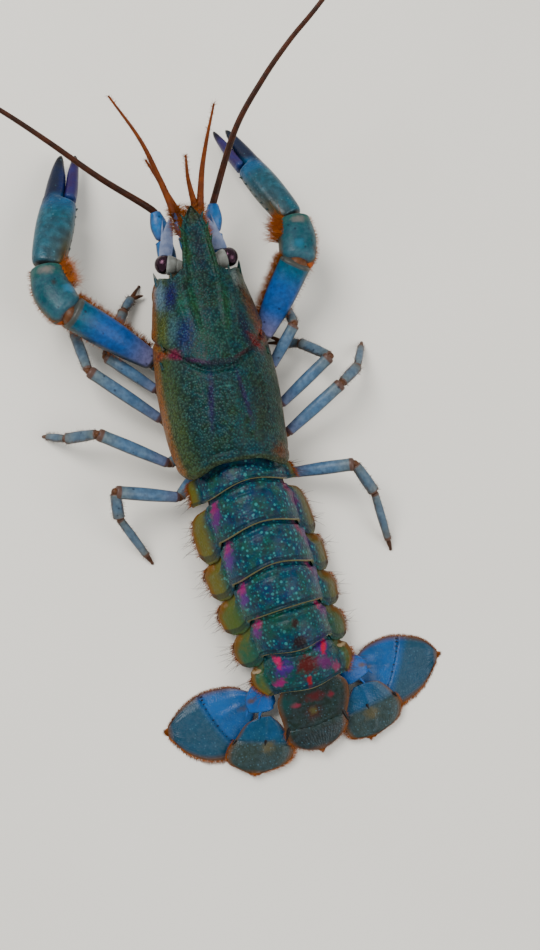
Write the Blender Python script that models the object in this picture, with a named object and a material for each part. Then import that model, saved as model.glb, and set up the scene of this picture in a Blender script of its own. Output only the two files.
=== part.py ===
"""A redclaw crayfish, Cherax quadricarinatus, as a still, life-size display model.

Sizes are in millimetres and become metres where a mesh is made. The animal faces +Y with its right
side at +X and stands on z = 0. While it is modelled, x = 0 and y = 0 are at the middle of the
carapace's rear edge; the empty that carries every part then moves the whole over its own centre.
"""

import math

import bmesh
import bpy
from mathutils import Vector

MM = 0.001
GAP = 0.3
LEFT, RIGHT = -1, 1
SIDE_NAME = {LEFT: "left", RIGHT: "right"}
SIDES = (LEFT, RIGHT)

# Carapace: guide lines over the shell as (degrees from the top, y), and sizes along y
REAR_EDGE = ((0, 0.5), (24, 0.3), (44, -0.9), (60, -1.4), (75, -0.8), (90, 0.9), (105, 2.4), (124, 4.4))
GROOVE = ((0, 23.0), (15, 23.6), (43, 29.0), (70, 33.5), (100, 37.0), (124, 38.5))
FRONT_EDGE = ((0, 51.5), (20, 51.0), (38, 49.4), (55, 50.4), (68, 51.2), (90, 49.5), (124, 45.6))
CARAPACE_HALF_WIDTH = ((-3, 12.9), (1, 14.1), (7, 15.1), (20, 15.7), (30, 15.1), (40, 13.8), (51, 11.5))
CARAPACE_SWAY = ((-3, 1.0), (3.4, 0.35), (9, 0.0))
CARAPACE_TOP = ((-3, 23.8), (4, 25.8), (12, 27.6), (23, 28.6), (36, 28.2), (51, 26.0))
CARAPACE_MIDDLE_Z = 13.0
CARAPACE_LOWER_DEPTH = 7.4
CARAPACE_EDGE_ANGLE = 124
CARAPACE_WALLS = (3.4, 44.5)
CARAPACE_LIP = 0.9
GROOVE_DEPTH = 0.8
ROOF_HALF_WIDTH = 8.2
THORAX_ROOF_Z = 10.8
HEAD_ROOF_Z = 16.8
ROOF_STEP_Y = (34.0, 39.5)

# Thorax block under it: y, half width, low z
THORAX = ((1.0, 5.4, 4.2), (4, 7.0, 3.8), (12, 7.6, 3.6), (20, 7.6, 3.6), (28, 7.2, 3.8), (34, 6.0, 4.4),
          (37.2, 4.6, 5.2))
THORAX_TOP = 10.3

# Rostrum: (y, half width, top z), and its margin spines at these y
ROSTRUM = ((46, 4.7, 26.4), (49, 4.6, 26.0), (52.4, 4.3, 25.6), (56, 3.9, 25.2), (60.3, 3.5, 24.8),
           (63.5, 2.5, 24.4), (65.6, 1.2, 24.1), (67, 0.35, 24.0))
ROSTRUM_DEPTH = 2.3
ROSTRUM_LEAN = 0.04
ROSTRUM_SPINES_Y = (56.8, 60.4, 63.4)

# Abdomen: somites 1 to 6, along its own axis from the carapace's rear edge
ABDOMEN_START = (1.0, 0.0)
ABDOMEN_TURN = math.radians(6.5)
ABDOMEN_SWAY = ((0, 0.2), (20, 0.5), (40, 0.9), (52, 1.2), (59, 1.7), (64, 1.5), (68, 0.7), (74, 0.5))
ABDOMEN_HALF_WIDTH = ((4.4, 14.0), (9, 14.9), (15, 15.7), (22, 15.9), (30, 15.9), (38, 15.6), (46, 14.6),
                      (50, 14.0), (53, 13.4), (55, 11.8), (58.4, 9.6))
TERGITE_HALF_WIDTH = ((0, 11.6), (15, 11.3), (28, 11.3), (38, 10.4), (48, 9.8), (53, 9.8), (58.4, 8.8))
ABDOMEN_TOP = ((4.4, 22.4), (15.5, 22.8), (26.2, 22.0), (37.5, 20.4), (48.4, 17.6), (58.4, 12.9))
SOMITE_REAR = (4.4, 15.5, 26.2, 37.5, 48.4, 58.4)
SOMITE_SHOULDER = (1.6, 1.5, 1.7, 0.2, -1.5, -1.2)
HINGE_Z = (13.4, 12.6, 12.2, 11.8, 11.0, 9.8)
HINGE_TURN = math.radians(72)
PLEURON_LOW_Z = (10.8, 4.9, 4.6, 4.5, 4.5, 8.0)
PLEURON_LOBE = (0.0, 4.0, 2.9, 2.3, 2.1, 0.0)
PLEURON_ANGLE = 122
TUCKED_RISE = 2.6
TERGITE_LIP = 0.7

# Tail fan, as (sideways, along the abdomen)
TELSON_HALF_WIDTH = ((57.1, 7.6), (58.8, 9.0), (60.5, 9.5), (63.5, 9.2), (67.7, 8.2), (70, 7.6), (72, 6.0),
                     (73.4, 3.4), (74.1, 1.2))
TELSON_TOP = ((57.1, 11.0), (60, 9.2), (64, 7.0), (68, 5.4), (74.1, 4.3))
EXOPOD_FRONT = {
    LEFT: ((12.9, 54.8), (17.0, 52.5), (22.0, 51.6), (26.9, 52.0), (31.8, 54.2), (35.5, 57.2)),
    RIGHT: ((15.4, 55.2), (20.6, 53.0), (26.4, 52.5), (31.4, 53.9), (35.4, 56.3), (37.9, 60.0)),
}
EXOPOD_REAR = {
    LEFT: ((13.2, 60.2), (16.0, 65.2), (21.6, 68.9), (27.4, 68.4), (32.4, 64.8), (35.9, 59.3)),
    RIGHT: ((15.6, 61.0), (17.6, 65.9), (22.2, 69.8), (27.0, 69.4), (32.3, 66.8), (37.3, 61.9)),
}
ENDOPOD_OUTER = {
    LEFT: ((12.6, 61.6), (16.2, 62.2), (19.3, 64.6), (22.4, 67.2), (23.2, 70.2), (19.4, 74.1)),
    RIGHT: ((16.2, 61.6), (19.8, 62.4), (22.5, 65.6), (24.0, 69.5), (21.6, 73.2), (15.6, 75.3)),
}
ENDOPOD_INNER = {
    LEFT: ((9.6, 62.2), (7.6, 65.6), (6.6, 69.6), (6.8, 72.8), (9.8, 74.9), (16.0, 75.3)),
    RIGHT: ((12.6, 62.0), (10.4, 64.6), (8.8, 67.6), (7.8, 70.6), (8.8, 74.0), (12.4, 75.2)),
}
EXOPOD_ROOT_RISE = 1.2
ENDOPOD_LEVEL = 2.1
ENDOPOD_ROOT_RISE = 2.2

# Their stalk: sideways, along, z, half width and half height
UROPOD_BASE = {
    LEFT: ((9.2, 53.4, 6.2, 1.3, 0.9), (10.4, 55.6, 5.8, 2.6, 1.1), (11.4, 58.0, 5.3, 3.1, 1.2),
           (11.9, 60.6, 4.9, 2.0, 1.0)),
    RIGHT: ((12.2, 53.4, 6.2, 1.3, 0.9), (13.2, 55.6, 5.8, 2.6, 1.1), (14.2, 58.0, 5.3, 3.1, 1.2),
            (14.9, 60.4, 4.9, 2.0, 1.0)),
}

# Head and its feelers, right side unless both are given
# Head block's two halves: y, half width, low z, high z
HEAD_LOWER = ((40.4, 5.0, 8.8, 15.8), (44, 7.2, 7.6, 16.3), (50, 7.4, 7.8, 16.4), (53.4, 6.9, 9.2, 16.4),
              (54.9, 6.2, 10.8, 15.8))
HEAD_UPPER = ((45.2, 2.6, 15.2, 20.6), (49, 3.0, 15.0, 22.0), (53.6, 3.0, 15.0, 22.2),
              (55.4, 2.5, 15.6, 21.4))
EYE_CENTRE = {LEFT: (-8.2, 54.0, 20.0), RIGHT: (8.4, 53.5, 20.0)}
EYE_RADIUS = 2.5
EYE_CUT = 0.7
EYE_STEPS = 5
STALK_ROOT = (3.8, 52.7, 20.3)
# Stations of the antenna's base, the antennule's stem and the maxilliped: x, y, z and radius
ANTENNA_BASE = ((6.3, 55.4, 13.2, 2.2), (6.7, 58.0, 13.6, 2.4), (6.8, 61.6, 14.0, 2.15),
                (6.6, 63.2, 14.4, 1.5), (6.7, 64.2, 14.8, 1.9), (7.1, 67.0, 15.4, 2.05),
                (7.7, 69.5, 16.1, 1.5))
ANTENNULE_STEM = ((1.5, 55.9, 18.6, 1.1), (2.0, 59.5, 19.0, 1.25), (2.3, 61.0, 19.2, 0.9),
                  (2.5, 63.6, 19.6, 1.2), (2.7, 65.0, 19.9, 0.9), (2.9, 67.6, 20.6, 1.0))
MAXILLIPED = ((4.9, 38.0, 5.6, 1.3), (5.3, 42.0, 5.1, 1.6), (5.4, 46.0, 5.2, 1.5), (5.0, 48.4, 5.8, 1.1),
              (4.8, 51.0, 6.6, 1.3), (4.3, 54.6, 8.0, 1.0), (3.8, 57.4, 9.4, 0.45))
# Scale beside the antenna: y, inner x, outer x, z
ANTENNA_SCALE = ((56.9, 5.6, 8.9, 17.1), (59, 4.9, 8.5, 17.3), (62, 4.4, 7.4, 17.5), (64.6, 4.0, 6.0, 17.6),
                 (66.4, 3.9, 4.8, 17.7))
BRANCH_RADIUS = (0.62, 0.28)
FLAGELLUM_RADIUS = (1.0, 0.28)
FLAGELLA = {
    LEFT: ((-8.9, 70.6, 16.9), (-20.7, 75.1, 30), (-31.3, 81.3, 40), (-41.4, 87.3, 48),
           (-58, 97.5, 57), (-77, 110, 59), (-95, 122, 54)),
    RIGHT: ((8.1, 70.5, 17.0), (14.2, 81.0, 34), (21.2, 87.7, 45), (28.0, 92.8, 53),
            (35.8, 97.9, 60), (54, 114, 68), (72, 132, 68), (86, 147, 61)),
}
ANTENNULE_BRANCHES = {
    LEFT: (((-3.3, 67.3, 20.8), (-5.8, 74.1, 26), (-9.5, 81.7, 34), (-15.8, 90.4, 42)),
           ((-2.4, 67.2, 20.6), (-5.4, 73.5, 24), (-8.6, 79.3, 27.5))),
    RIGHT: (((3.5, 67.3, 20.8), (5.0, 74.5, 27), (6.9, 80.0, 33), (9.4, 85.9, 40)),
            ((2.4, 67.2, 20.6), (1.2, 73.0, 26.8), (1.2, 77.4, 31.4))),
}

# Walking legs: coxa face, ischium end, knee, ankle, tip, and a pincer's second tip
LEG_JOINTS = {
    ("leg_2", LEFT): ((-9.8, 22.6, 5.4), (-15.0, 25.0, 6.8), (-26.6, 36.2, 7.0), (-19.6, 48.7, 3.6),
                      (-14.3, 55.5, 0), (-13.6, 52.6, 1.2)),
    ("leg_3", LEFT): ((-9.8, 15.2, 5.4), (-15.2, 17.0, 7.0), (-31.7, 31.9, 12), (-33.5, 44, 5.4),
                      (-33.2, 52.5, 0), (-31.0, 51.6, 1.2)),
    ("leg_4", LEFT): ((-9.8, 8.0, 5.4), (-15.5, 5.4, 7.2), (-32.3, 15.1, 13), (-40.3, 16.4, 7),
                      (-46.1, 19.3, 0)),
    ("leg_5", LEFT): ((-9.6, 1.2, 5.2), (-14.4, -3.6, 6.2), (-30.5, -0.3, 13), (-30.6, -6.5, 9),
                      (-24.1, -18.6, 0)),
    ("leg_2", RIGHT): ((9.8, 23.0, 5.4), (15.8, 26.2, 7.0), (23.4, 35.6, 11.4), (23.4, 41.5, 4.8),
                       (20.4, 49.6, 0), (18.4, 48.6, 1.2)),
    ("leg_3", RIGHT): ((9.8, 15.0, 5.4), (16.2, 15.8, 7.0), (30.7, 25.2, 13), (24.8, 31.7, 5.8),
                       (16.9, 34.4, 0), (17.4, 36.2, 1.4)),
    ("leg_4", RIGHT): ((9.8, 8.0, 5.4), (16.4, 8.0, 7.2), (32.3, 17.6, 13), (38.3, 22.2, 8),
                       (42.8, 30.3, 0)),
    ("leg_5", RIGHT): ((9.6, 1.4, 5.2), (15.8, -2.4, 6.2), (31.3, -4, 13), (35.7, -11.6, 9),
                       (38.9, -26.6, 0)),
}
LEG_RADII = {"leg_2": 1.45, "leg_3": 1.5, "leg_4": 1.55, "leg_5": 1.6}
FOOT_RADIUS = 0.45

# Chelipeds: coxa face, ischium end, merus end, carpus end, tips
CHELIPED_JOINTS = {
    LEFT: ((-9.6, 30.4, 5.2), (-14.8, 33.0, 7.0), (-33.8, 46.5, 18.0), (-37.4, 59.4, 14.8),
           (-26.8, 93.2, 4.0)),
    RIGHT: ((9.6, 31.0, 5.2), (15.0, 35.0, 7.0), (26.2, 51.0, 17.4), (28.0, 62.8, 14.8),
            (14.9, 94.6, 4.2)),
}
CARPUS_BULGE = {LEFT: 1.8, RIGHT: 0.8}
CARPUS_RADIUS = {LEFT: 5.2, RIGHT: 5.0}
WRIST_RADIUS = 2.8
# Share of the palm's full width that the hand shows, as it is rolled on its axis
HAND_WIDTH = {LEFT: 1.06, RIGHT: 0.86}
FIXED_FINGER_REACH = {LEFT: 1.0, RIGHT: 0.94}
# Hand along its axis: (share of the length, outward offset, half width, half height)
PALM = ((0.0, 0, 2.7, 2.4), (0.05, 0, 3.7, 2.9), (0.16, 0, 4.4, 3.3), (0.34, 0, 4.7, 3.4),
        (0.48, 0, 4.5, 3.1), (0.565, 0, 4.2, 2.7))
FIXED_FINGER = ((0.577, 2.1, 1.95, 2.3), (0.7, 2.15, 1.75, 1.9), (0.85, 2.05, 1.35, 1.4),
                (0.95, 1.9, 0.8, 0.9), (0.99, 1.7, 0.3, 0.35))
DACTYL = ((0.588, -2.15, 1.8, 2.1), (0.7, -2.2, 1.75, 1.8), (0.85, -2.1, 1.35, 1.4),
          (0.96, -1.95, 0.8, 0.9), (1.01, -1.7, 0.3, 0.35))

ARCH_POINTS = 15
# Rings of the carapace, as shares of the way to the groove and on to the front wall
REAR_HALF_SHARES = (0, 0.15, 0.32, 0.5, 0.68, 0.84, 0.95)
FRONT_HALF_SHARES = (0.1, 0.3, 0.55, 0.8, 1)
TUBE_SIDES = 8

FINISH = {
    "shell_teal": ((0.012, 0.090, 0.088), 0.42),
    "limb_blue": ((0.030, 0.160, 0.420), 0.36),
    "limb_slate": ((0.070, 0.150, 0.260), 0.42),
    "claw_teal": ((0.020, 0.110, 0.180), 0.38),
    "claw_violet": ((0.050, 0.050, 0.260), 0.36),
    "fan_blue": ((0.020, 0.110, 0.300), 0.40),
    "feeler_brown": ((0.075, 0.018, 0.006), 0.45),
    "scale_pale": ((0.300, 0.340, 0.460), 0.40),
    "stalk_grey": ((0.260, 0.300, 0.330), 0.40),
    "cornea_black": ((0.004, 0.002, 0.006), 0.12),
    "belly_pale": ((0.300, 0.240, 0.150), 0.55),
}


def curve(table, key):
    """Smooth value at key through rows of (key, value)."""
    if key <= table[0][0]:
        return table[0][1]
    if key >= table[-1][0]:
        return table[-1][1]
    last = len(table) - 1
    index = max(number for number in range(last) if table[number][0] <= key)

    def slope(number):
        low = table[max(number - 1, 0)]
        high = table[min(number + 1, last)]
        return (high[1] - low[1]) / (high[0] - low[0])

    (start, first), (end, second) = table[index], table[index + 1]
    span = end - start
    t = (key - start) / span
    rise = second - first
    tangents = span * (slope(index) * t * (1 - t) ** 2 - slope(index + 1) * t * t * (1 - t))
    return first + rise * t * t * (3 - 2 * t) + tangents


def smooth(value):
    value = min(max(value, 0.0), 1.0)
    return value * value * (3 - 2 * value)


def spline(points, count):
    """count points at even steps of a smooth curve through points."""
    rows = [Vector(point) for point in points]
    tables = [[(number, row[axis]) for number, row in enumerate(rows)] for axis in range(len(rows[0]))]
    steps = (len(rows) - 1) / (count - 1)
    return [Vector([curve(table, steps * number) for table in tables]) for number in range(count)]


def mirrored(point, side):
    return Vector((side * point[0], point[1], point[2]))


def ring_faces(bm, first, second):
    count = len(first)
    for number in range(count):
        following = (number + 1) % count
        bm.faces.new((first[number], first[following], second[following], second[number]))


def loft(bm, rings):
    """Closed body through rings of points, with a flat cap at each end."""
    rows = [[bm.verts.new(point) for point in ring] for ring in rings]
    for first, second in zip(rows, rows[1:]):
        ring_faces(bm, first, second)
    bm.faces.new(rows[0])
    bm.faces.new(rows[-1])


def section_directions(centres):
    """Sideways and upward unit vectors at each centre, turned no more than the path turns."""
    count = len(centres)
    tangents = []
    for number in range(count):
        into = centres[number] - centres[max(number - 1, 0)]
        out = centres[min(number + 1, count - 1)] - centres[number]
        tangents.append((into.normalized() + out.normalized()).normalized())
    side = tangents[0].cross(Vector((0, 0, 1))).normalized()
    directions = []
    for number, tangent in enumerate(tangents):
        if number:
            side = tangents[number - 1].rotation_difference(tangent) @ side
        directions.append((side, side.cross(tangent)))
    return directions


def round_ring(centre, side, up, half_width, half_height, sides):
    ring = []
    for number in range(sides):
        angle = math.tau * (number + 0.5) / sides
        ring.append(centre + side * half_width * math.cos(angle) + up * half_height * math.sin(angle))
    return ring


def tube_rings(stations, sides):
    """Rings round stations of (centre, half width, half height)."""
    centres = [Vector(station[0]) for station in stations]
    rings = []
    for station, centre, (side, up) in zip(stations, centres, section_directions(centres)):
        rings.append(round_ring(centre, side, up, station[1], station[2], sides))
    return rings


def tube(stations, sides=TUBE_SIDES):
    bm = bmesh.new()
    loft(bm, tube_rings(stations, sides))
    return bm


def cone(base, tip, radius, sides=5):
    """Spine from a base point inside its part to its tip."""
    return tube([(base, radius, radius), (tip, 0.07, 0.07)], sides)


def egg(centre, radii, rings=5, sides=8):
    """Closed ellipsoid."""
    stations = []
    for number in range(rings):
        angle = math.pi * (number + 0.35) / (rings - 0.3)
        offset = Vector((0, -radii[1] * math.cos(angle), 0))
        stations.append((Vector(centre) + offset, radii[0] * math.sin(angle), radii[2] * math.sin(angle)))
    return tube(stations, sides)


def finish(name):
    """The Principled material of this name, made when it is first asked for."""
    material = bpy.data.materials.get(name)
    if material is None:
        colour, roughness = FINISH[name]
        material = bpy.data.materials.new(name)
        material.use_nodes = True
        shader = material.node_tree.nodes["Principled BSDF"]
        shader.inputs["Base Color"].default_value = (*colour, 1)
        shader.inputs["Roughness"].default_value = roughness
        shader.inputs["Metallic"].default_value = 0
        material.diffuse_color = (*colour, 1)
    return material


def mesh_object(name, bm):
    """Object from a body in millimetres, with its faces turned outwards."""
    bmesh.ops.triangulate(bm, faces=bm.faces[:])
    bmesh.ops.recalc_face_normals(bm, faces=bm.faces[:])
    bmesh.ops.scale(bm, vec=(MM, MM, MM), verts=bm.verts[:])
    mesh = bpy.data.meshes.new(name)
    bm.to_mesh(mesh)
    bm.free()
    item = bpy.data.objects.new(name, mesh)
    bpy.context.scene.collection.objects.link(item)
    return item


def keep_largest(mesh):
    """Drops all but the largest closed surface of a mesh."""
    bm = bmesh.new()
    bm.from_mesh(mesh)
    left = set(bm.faces)
    shells = []
    while left:
        shell = {left.pop()}
        edge_of_search = list(shell)
        while edge_of_search:
            face = edge_of_search.pop()
            for edge in face.edges:
                fresh = [other for other in edge.link_faces if other in left]
                left.difference_update(fresh)
                shell.update(fresh)
                edge_of_search.extend(fresh)
        shells.append(shell)
    largest = max(shells, key=lambda shell: sum(face.calc_area() for face in shell))
    spare = [face for shell in shells if shell is not largest for face in shell]
    bmesh.ops.delete(bm, geom=spare, context="FACES")
    bmesh.ops.triangulate(bm, faces=bm.faces[:])
    bm.to_mesh(mesh)
    bm.free()


def part(name, bodies, material, root):
    """One named part, fused from closed bodies that reach into the first one."""
    item = mesh_object(name, bodies[0])
    if len(bodies) > 1:
        group = bpy.data.collections.new("fused")
        bpy.context.scene.collection.children.link(group)
        for number, body in enumerate(bodies[1:]):
            piece = mesh_object(f"{name}_piece_{number}", body)
            bpy.context.scene.collection.objects.unlink(piece)
            group.objects.link(piece)
        union = item.modifiers.new("union", "BOOLEAN")
        union.operation = "UNION"
        union.solver = "MANIFOLD"
        union.operand_type = "COLLECTION"
        union.collection = group
        bpy.context.view_layer.update()
        evaluated = item.evaluated_get(bpy.context.evaluated_depsgraph_get())
        fused = bpy.data.meshes.new_from_object(evaluated)
        item.modifiers.remove(union)
        item.data = fused
        for piece in list(group.objects):
            bpy.data.objects.remove(piece)
        bpy.data.collections.remove(group)
        keep_largest(fused)
    item.data.materials.clear()
    item.data.materials.append(finish(material))
    item.data.shade_smooth()
    item.data.set_sharp_from_angle(angle=math.radians(40))
    item.parent = root
    return item


def shell_body(rings, chain, rear_lip=None, front_lip=None):
    """Closed body through rings whose first points, chain of them, are the back's arch.

    A lip is a list of arches that carries on from the end ring, out to the edge and back in under it.
    """
    bm = bmesh.new()
    rows = [[bm.verts.new(point) for point in ring] for ring in rings]
    for first, second in zip(rows, rows[1:]):
        ring_faces(bm, first, second)
    for end, lip in ((rows[0], rear_lip), (rows[-1], front_lip)):
        if lip is None:
            bm.faces.new(end)
            continue
        arches = [end[:chain]] + [[bm.verts.new(point) for point in arch] for arch in lip]
        for first, second in zip(arches, arches[1:]):
            for number in range(chain - 1):
                bm.faces.new((first[number], first[number + 1], second[number + 1], second[number]))
        bm.faces.new([arch[0] for arch in arches])
        bm.faces.new([arch[-1] for arch in arches])
        bm.faces.new(arches[-1] + [end[chain - 1]] + end[chain:] + [end[0]])
    return bm


def carapace_xz(y, angle, inset):
    """Point of the shell's section at y, at an angle in degrees from its top."""
    turn = math.radians(angle)
    half_width = curve(CARAPACE_HALF_WIDTH, y) - inset
    rise = curve(CARAPACE_TOP, y) - CARAPACE_MIDDLE_Z if abs(angle) < 90 else CARAPACE_LOWER_DEPTH
    x = curve(CARAPACE_SWAY, y) + half_width * math.sin(turn)
    return x, CARAPACE_MIDDLE_Z + (rise - inset) * math.cos(turn)


def carapace_angles():
    steps = ARCH_POINTS + 5
    return [CARAPACE_EDGE_ANGLE * (2 * number / steps - 1) for number in range(steps + 1)]


def carapace_arch(line, inset):
    """Arch over the shell along a line of (degrees, y), or at one y."""
    points = []
    for angle in carapace_angles():
        y = line if isinstance(line, (int, float)) else curve(line, abs(angle))
        x, z = carapace_xz(y, angle, inset)
        points.append(Vector((x, y, z)))
    return points


def between(first, second, share):
    """Guide line at a share of the way from one line to another."""
    rows = []
    for angle in sorted({round(abs(angle), 6) for angle in carapace_angles()}):
        ends = [line if isinstance(line, (int, float)) else curve(line, angle) for line in (first, second)]
        rows.append((angle, ends[0] + (ends[1] - ends[0]) * share))
    return rows


def carapace_ring(line, inset=0.0):
    """The arch closed underneath by the edge's flat and the recess for thorax and head."""
    arch = carapace_arch(line, inset)
    edge = arch[-1]
    step = smooth((edge.y - ROOF_STEP_Y[0]) / (ROOF_STEP_Y[1] - ROOF_STEP_Y[0]))
    roof = THORAX_ROOF_Z + (HEAD_ROOF_Z - THORAX_ROOF_Z) * step
    inner = max(edge.x - 1.7, ROOF_HALF_WIDTH + 0.5)
    right = [Vector((inner, edge.y, edge.z + 0.05)), Vector((ROOF_HALF_WIDTH, edge.y, roof))]
    return arch + right + [mirrored(point, LEFT) for point in reversed(right)]


def shell_top(x, y, sink=0.0):
    """Point on the carapace's upper surface."""
    share = min(abs(x) / curve(CARAPACE_HALF_WIDTH, y), 0.99)
    rise = (curve(CARAPACE_TOP, y) - CARAPACE_MIDDLE_Z) * math.sqrt(1 - share * share)
    return Vector((x, y, CARAPACE_MIDDLE_Z + rise - sink))


def keel(start, end, width, height, count=7):
    """Low ridge along the carapace between two (x, y) places."""
    rings = []
    for number in range(count):
        share = number / (count - 1)
        x = start[0] + (end[0] - start[0]) * share
        y = start[1] + (end[1] - start[1]) * share
        lift = height * math.sin(math.pi * (0.08 + 0.84 * share)) ** 0.6
        rings.append([shell_top(x - width / 2, y, 0.5), shell_top(x, y, -lift),
                      shell_top(x + width / 2, y, 0.5), shell_top(x, y, 1.0)])
    bm = bmesh.new()
    loft(bm, rings)
    return bm


def rostrum_body():
    rings = []
    for y, half_width, top in ROSTRUM:
        rim = min(0.9, half_width * 0.3)
        depth = ROSTRUM_DEPTH * min(1.0, 0.25 + half_width / 4.5)
        outline = ((-half_width, top - 0.2), (-half_width + rim * 0.4, top + 0.35), (-half_width + rim, top),
                   (0, top - 0.25), (half_width - rim, top), (half_width - rim * 0.4, top + 0.35),
                   (half_width, top - 0.2), (half_width * 0.45, top - depth * 0.8), (0, top - depth),
                   (-half_width * 0.45, top - depth * 0.8))
        rings.append([Vector((x + rostrum_middle(y), y, z)) for x, z in outline])
    bm = bmesh.new()
    loft(bm, rings)
    return bm


def rostrum_middle(y):
    """Sideways place of the rostrum's middle line, which leans a little to the right."""
    return ROSTRUM_LEAN * (y - ROSTRUM[0][0])


def rostrum_size(y):
    widths = [(row[0], row[1]) for row in ROSTRUM]
    tops = [(row[0], row[2]) for row in ROSTRUM]
    return curve(widths, y), curve(tops, y)


def make_carapace(root):
    rear_wall, front_wall = CARAPACE_WALLS
    rings = [carapace_ring(between(rear_wall, GROOVE, share)) for share in REAR_HALF_SHARES]
    rings.append(carapace_ring(GROOVE, GROOVE_DEPTH))
    rings += [carapace_ring(between(GROOVE, front_wall, share)) for share in FRONT_HALF_SHARES]
    lip = CARAPACE_LIP
    rear_lip = [carapace_arch(between(rear_wall, REAR_EDGE, 0.5), 0.3), carapace_arch(REAR_EDGE, 0),
                carapace_arch(REAR_EDGE, lip), carapace_arch(rear_wall, lip)]
    front_lip = [carapace_arch(between(front_wall, FRONT_EDGE, 0.5), 0), carapace_arch(FRONT_EDGE, 0.15),
                 carapace_arch(FRONT_EDGE, lip), carapace_arch(front_wall, lip)]
    bodies = [shell_body(rings, len(carapace_angles()), rear_lip, front_lip), rostrum_body()]
    for side in SIDES:
        bodies.append(keel((side * 3.2, 33.5), (side * 4.2, 50.0), 1.5, 0.5))
        bodies.append(keel((side * 6.0, 34.5), (side * 7.4, 48.4), 1.5, 0.5))
        bodies.append(cone(shell_top(side * 7.3, 47.6, 0.6), shell_top(side * 7.4, 50.2, -0.7), 0.6))
        bodies.append(cone((side * 10.6, 49.6, 17.6), (side * 11.2, 53.0, 18.0), 0.65))
        bodies.append(cone(shell_top(side * 13.2, 27.0, 0.6), shell_top(side * 13.9, 29.4, -0.8), 0.6))
        for y in ROSTRUM_SPINES_Y:
            half_width, top = rostrum_size(y)
            middle = rostrum_middle(y)
            bodies.append(cone((middle + side * (half_width - 0.7), y - 0.6, top - 0.1),
                               (middle + side * (half_width + 0.35), y + 1.5, top + 0.5), 0.5))
    part("carapace", bodies, "shell_teal", root)


def abdomen_point(sideways, along, z):
    """Model place of a point given across and along the abdomen."""
    cos, sin = math.cos(ABDOMEN_TURN), math.sin(ABDOMEN_TURN)
    x = ABDOMEN_START[0] + sideways * cos + along * sin
    y = ABDOMEN_START[1] + sideways * sin - along * cos
    return Vector((x, y, z))


def body_point(sideways, along, z):
    """The same from the abdomen's own middle line, which sways a little."""
    return abdomen_point(sideways + curve(ABDOMEN_SWAY, along), along, z)


def arch_angles():
    """Degrees across a tergite; past 90 they run down the pleuron."""
    half = (ARCH_POINTS - 1) // 2
    right = [90 * number / half for number in range(1, half + 1)] + [97, 105, 114, PLEURON_ANGLE]
    return [-angle for angle in reversed(right)] + [0] + right


def rear_edge(somite, angle):
    """Place along the abdomen of a tergite's rear edge."""
    size = abs(angle)
    lobe = smooth((size - 80) / 20) * (1 - 0.5 * smooth((size - 108) / 14))
    return SOMITE_REAR[somite] + SOMITE_SHOULDER[somite] * smooth(size / 75) + PLEURON_LOBE[somite] * lobe


def front_limit(somite, angle):
    """Place along the abdomen where the plate before this one ends."""
    if somite:
        return rear_edge(somite - 1, angle)
    sideways = ABDOMEN_HALF_WIDTH[0][1] * math.sin(math.radians(min(max(angle, -90), 90)))
    edge_y = curve(REAR_EDGE, min(abs(angle), 104))
    return (sideways * math.sin(ABDOMEN_TURN) - edge_y) / math.cos(ABDOMEN_TURN)


def flank_x(somite, along, inset, z):
    """Half width of a pleuron's outer face at a height under its hinge."""
    tergite = curve(TERGITE_HALF_WIDTH, along) - inset
    flare = curve(ABDOMEN_HALF_WIDTH, along) - inset - tergite
    depth = (HINGE_Z[somite] - z) / (HINGE_Z[somite] - PLEURON_LOW_Z[somite])
    return tergite + flare * (1 - (1 - min(max(depth, 0), 1)) ** 1.7)


def somite_arch(somite, place, inset, low):
    """Arch of a somite; place is a number or a function of the angle."""
    hinge = HINGE_Z[somite]
    sink = min(inset, 1.3)
    points = []
    for angle in arch_angles():
        along = place(angle) if callable(place) else place
        turn = HINGE_TURN * min(abs(angle) / 90, 1)
        if abs(angle) > 90:
            z = hinge - (hinge - low) * (abs(angle) - 90) / (PLEURON_ANGLE - 90)
            x = flank_x(somite, along, inset, z)
        else:
            height = (math.cos(turn) - math.cos(HINGE_TURN)) / (1 - math.cos(HINGE_TURN))
            z = hinge + (curve(ABDOMEN_TOP, along) - sink - hinge) * height
            x = (curve(TERGITE_HALF_WIDTH, along) - inset) * math.sin(turn) / math.sin(HINGE_TURN)
        points.append(body_point(math.copysign(x, angle), along, z))
    return points


def somite_ring(somite, place, inset, low):
    arch = somite_arch(somite, place, inset, low)
    along = place(PLEURON_ANGLE) if callable(place) else place
    edge = flank_x(somite, along, inset, low)
    inner = curve(TERGITE_HALF_WIDTH, along) - inset
    under = ((edge - 1.2, low + 0.1), (inner - 2.2, max(HINGE_Z[somite] + 0.3, low + 0.4)))
    ring = arch + [body_point(x, along, z) for x, z in under]
    return ring + [body_point(-x, along, z) for x, z in reversed(under)]


def somite_walls(somite):
    """Places of a somite's flat front and rear faces."""
    depths = [1.0] + [1.6] * 5
    rear = SOMITE_REAR[somite] - depths[somite]
    if somite == 0:
        return -1.4, rear
    return SOMITE_REAR[somite - 1] - depths[somite - 1] + GAP, rear


def swimmeret(side, along, root_z, length):
    """Stalk and two blades under the abdomen."""
    at = body_point
    stalk = tube([(at(side * 6.4, along, root_z + 1.6), 0.9, 0.9),
                  (at(side * 6.9, along + 0.4, root_z - 2.2), 0.8, 0.7),
                  (at(side * 7.3, along + 1.2, root_z - 4.6), 0.6, 0.6)], 6)
    blades = [stalk]
    for spread, reach in ((9.6, 1.0), (5.6, 0.88)):
        blades.append(tube([(at(side * 7.3, along + 0.8, root_z - 3.8), 0.5, 0.45),
                            (at(side * (7.3 + spread) / 2, along + 0.45 * length * reach, root_z - 5.6),
                             1.15, 0.4),
                            (at(side * spread, along + length * reach, root_z - 7.4), 0.4, 0.25)], 6))
    return blades


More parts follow.
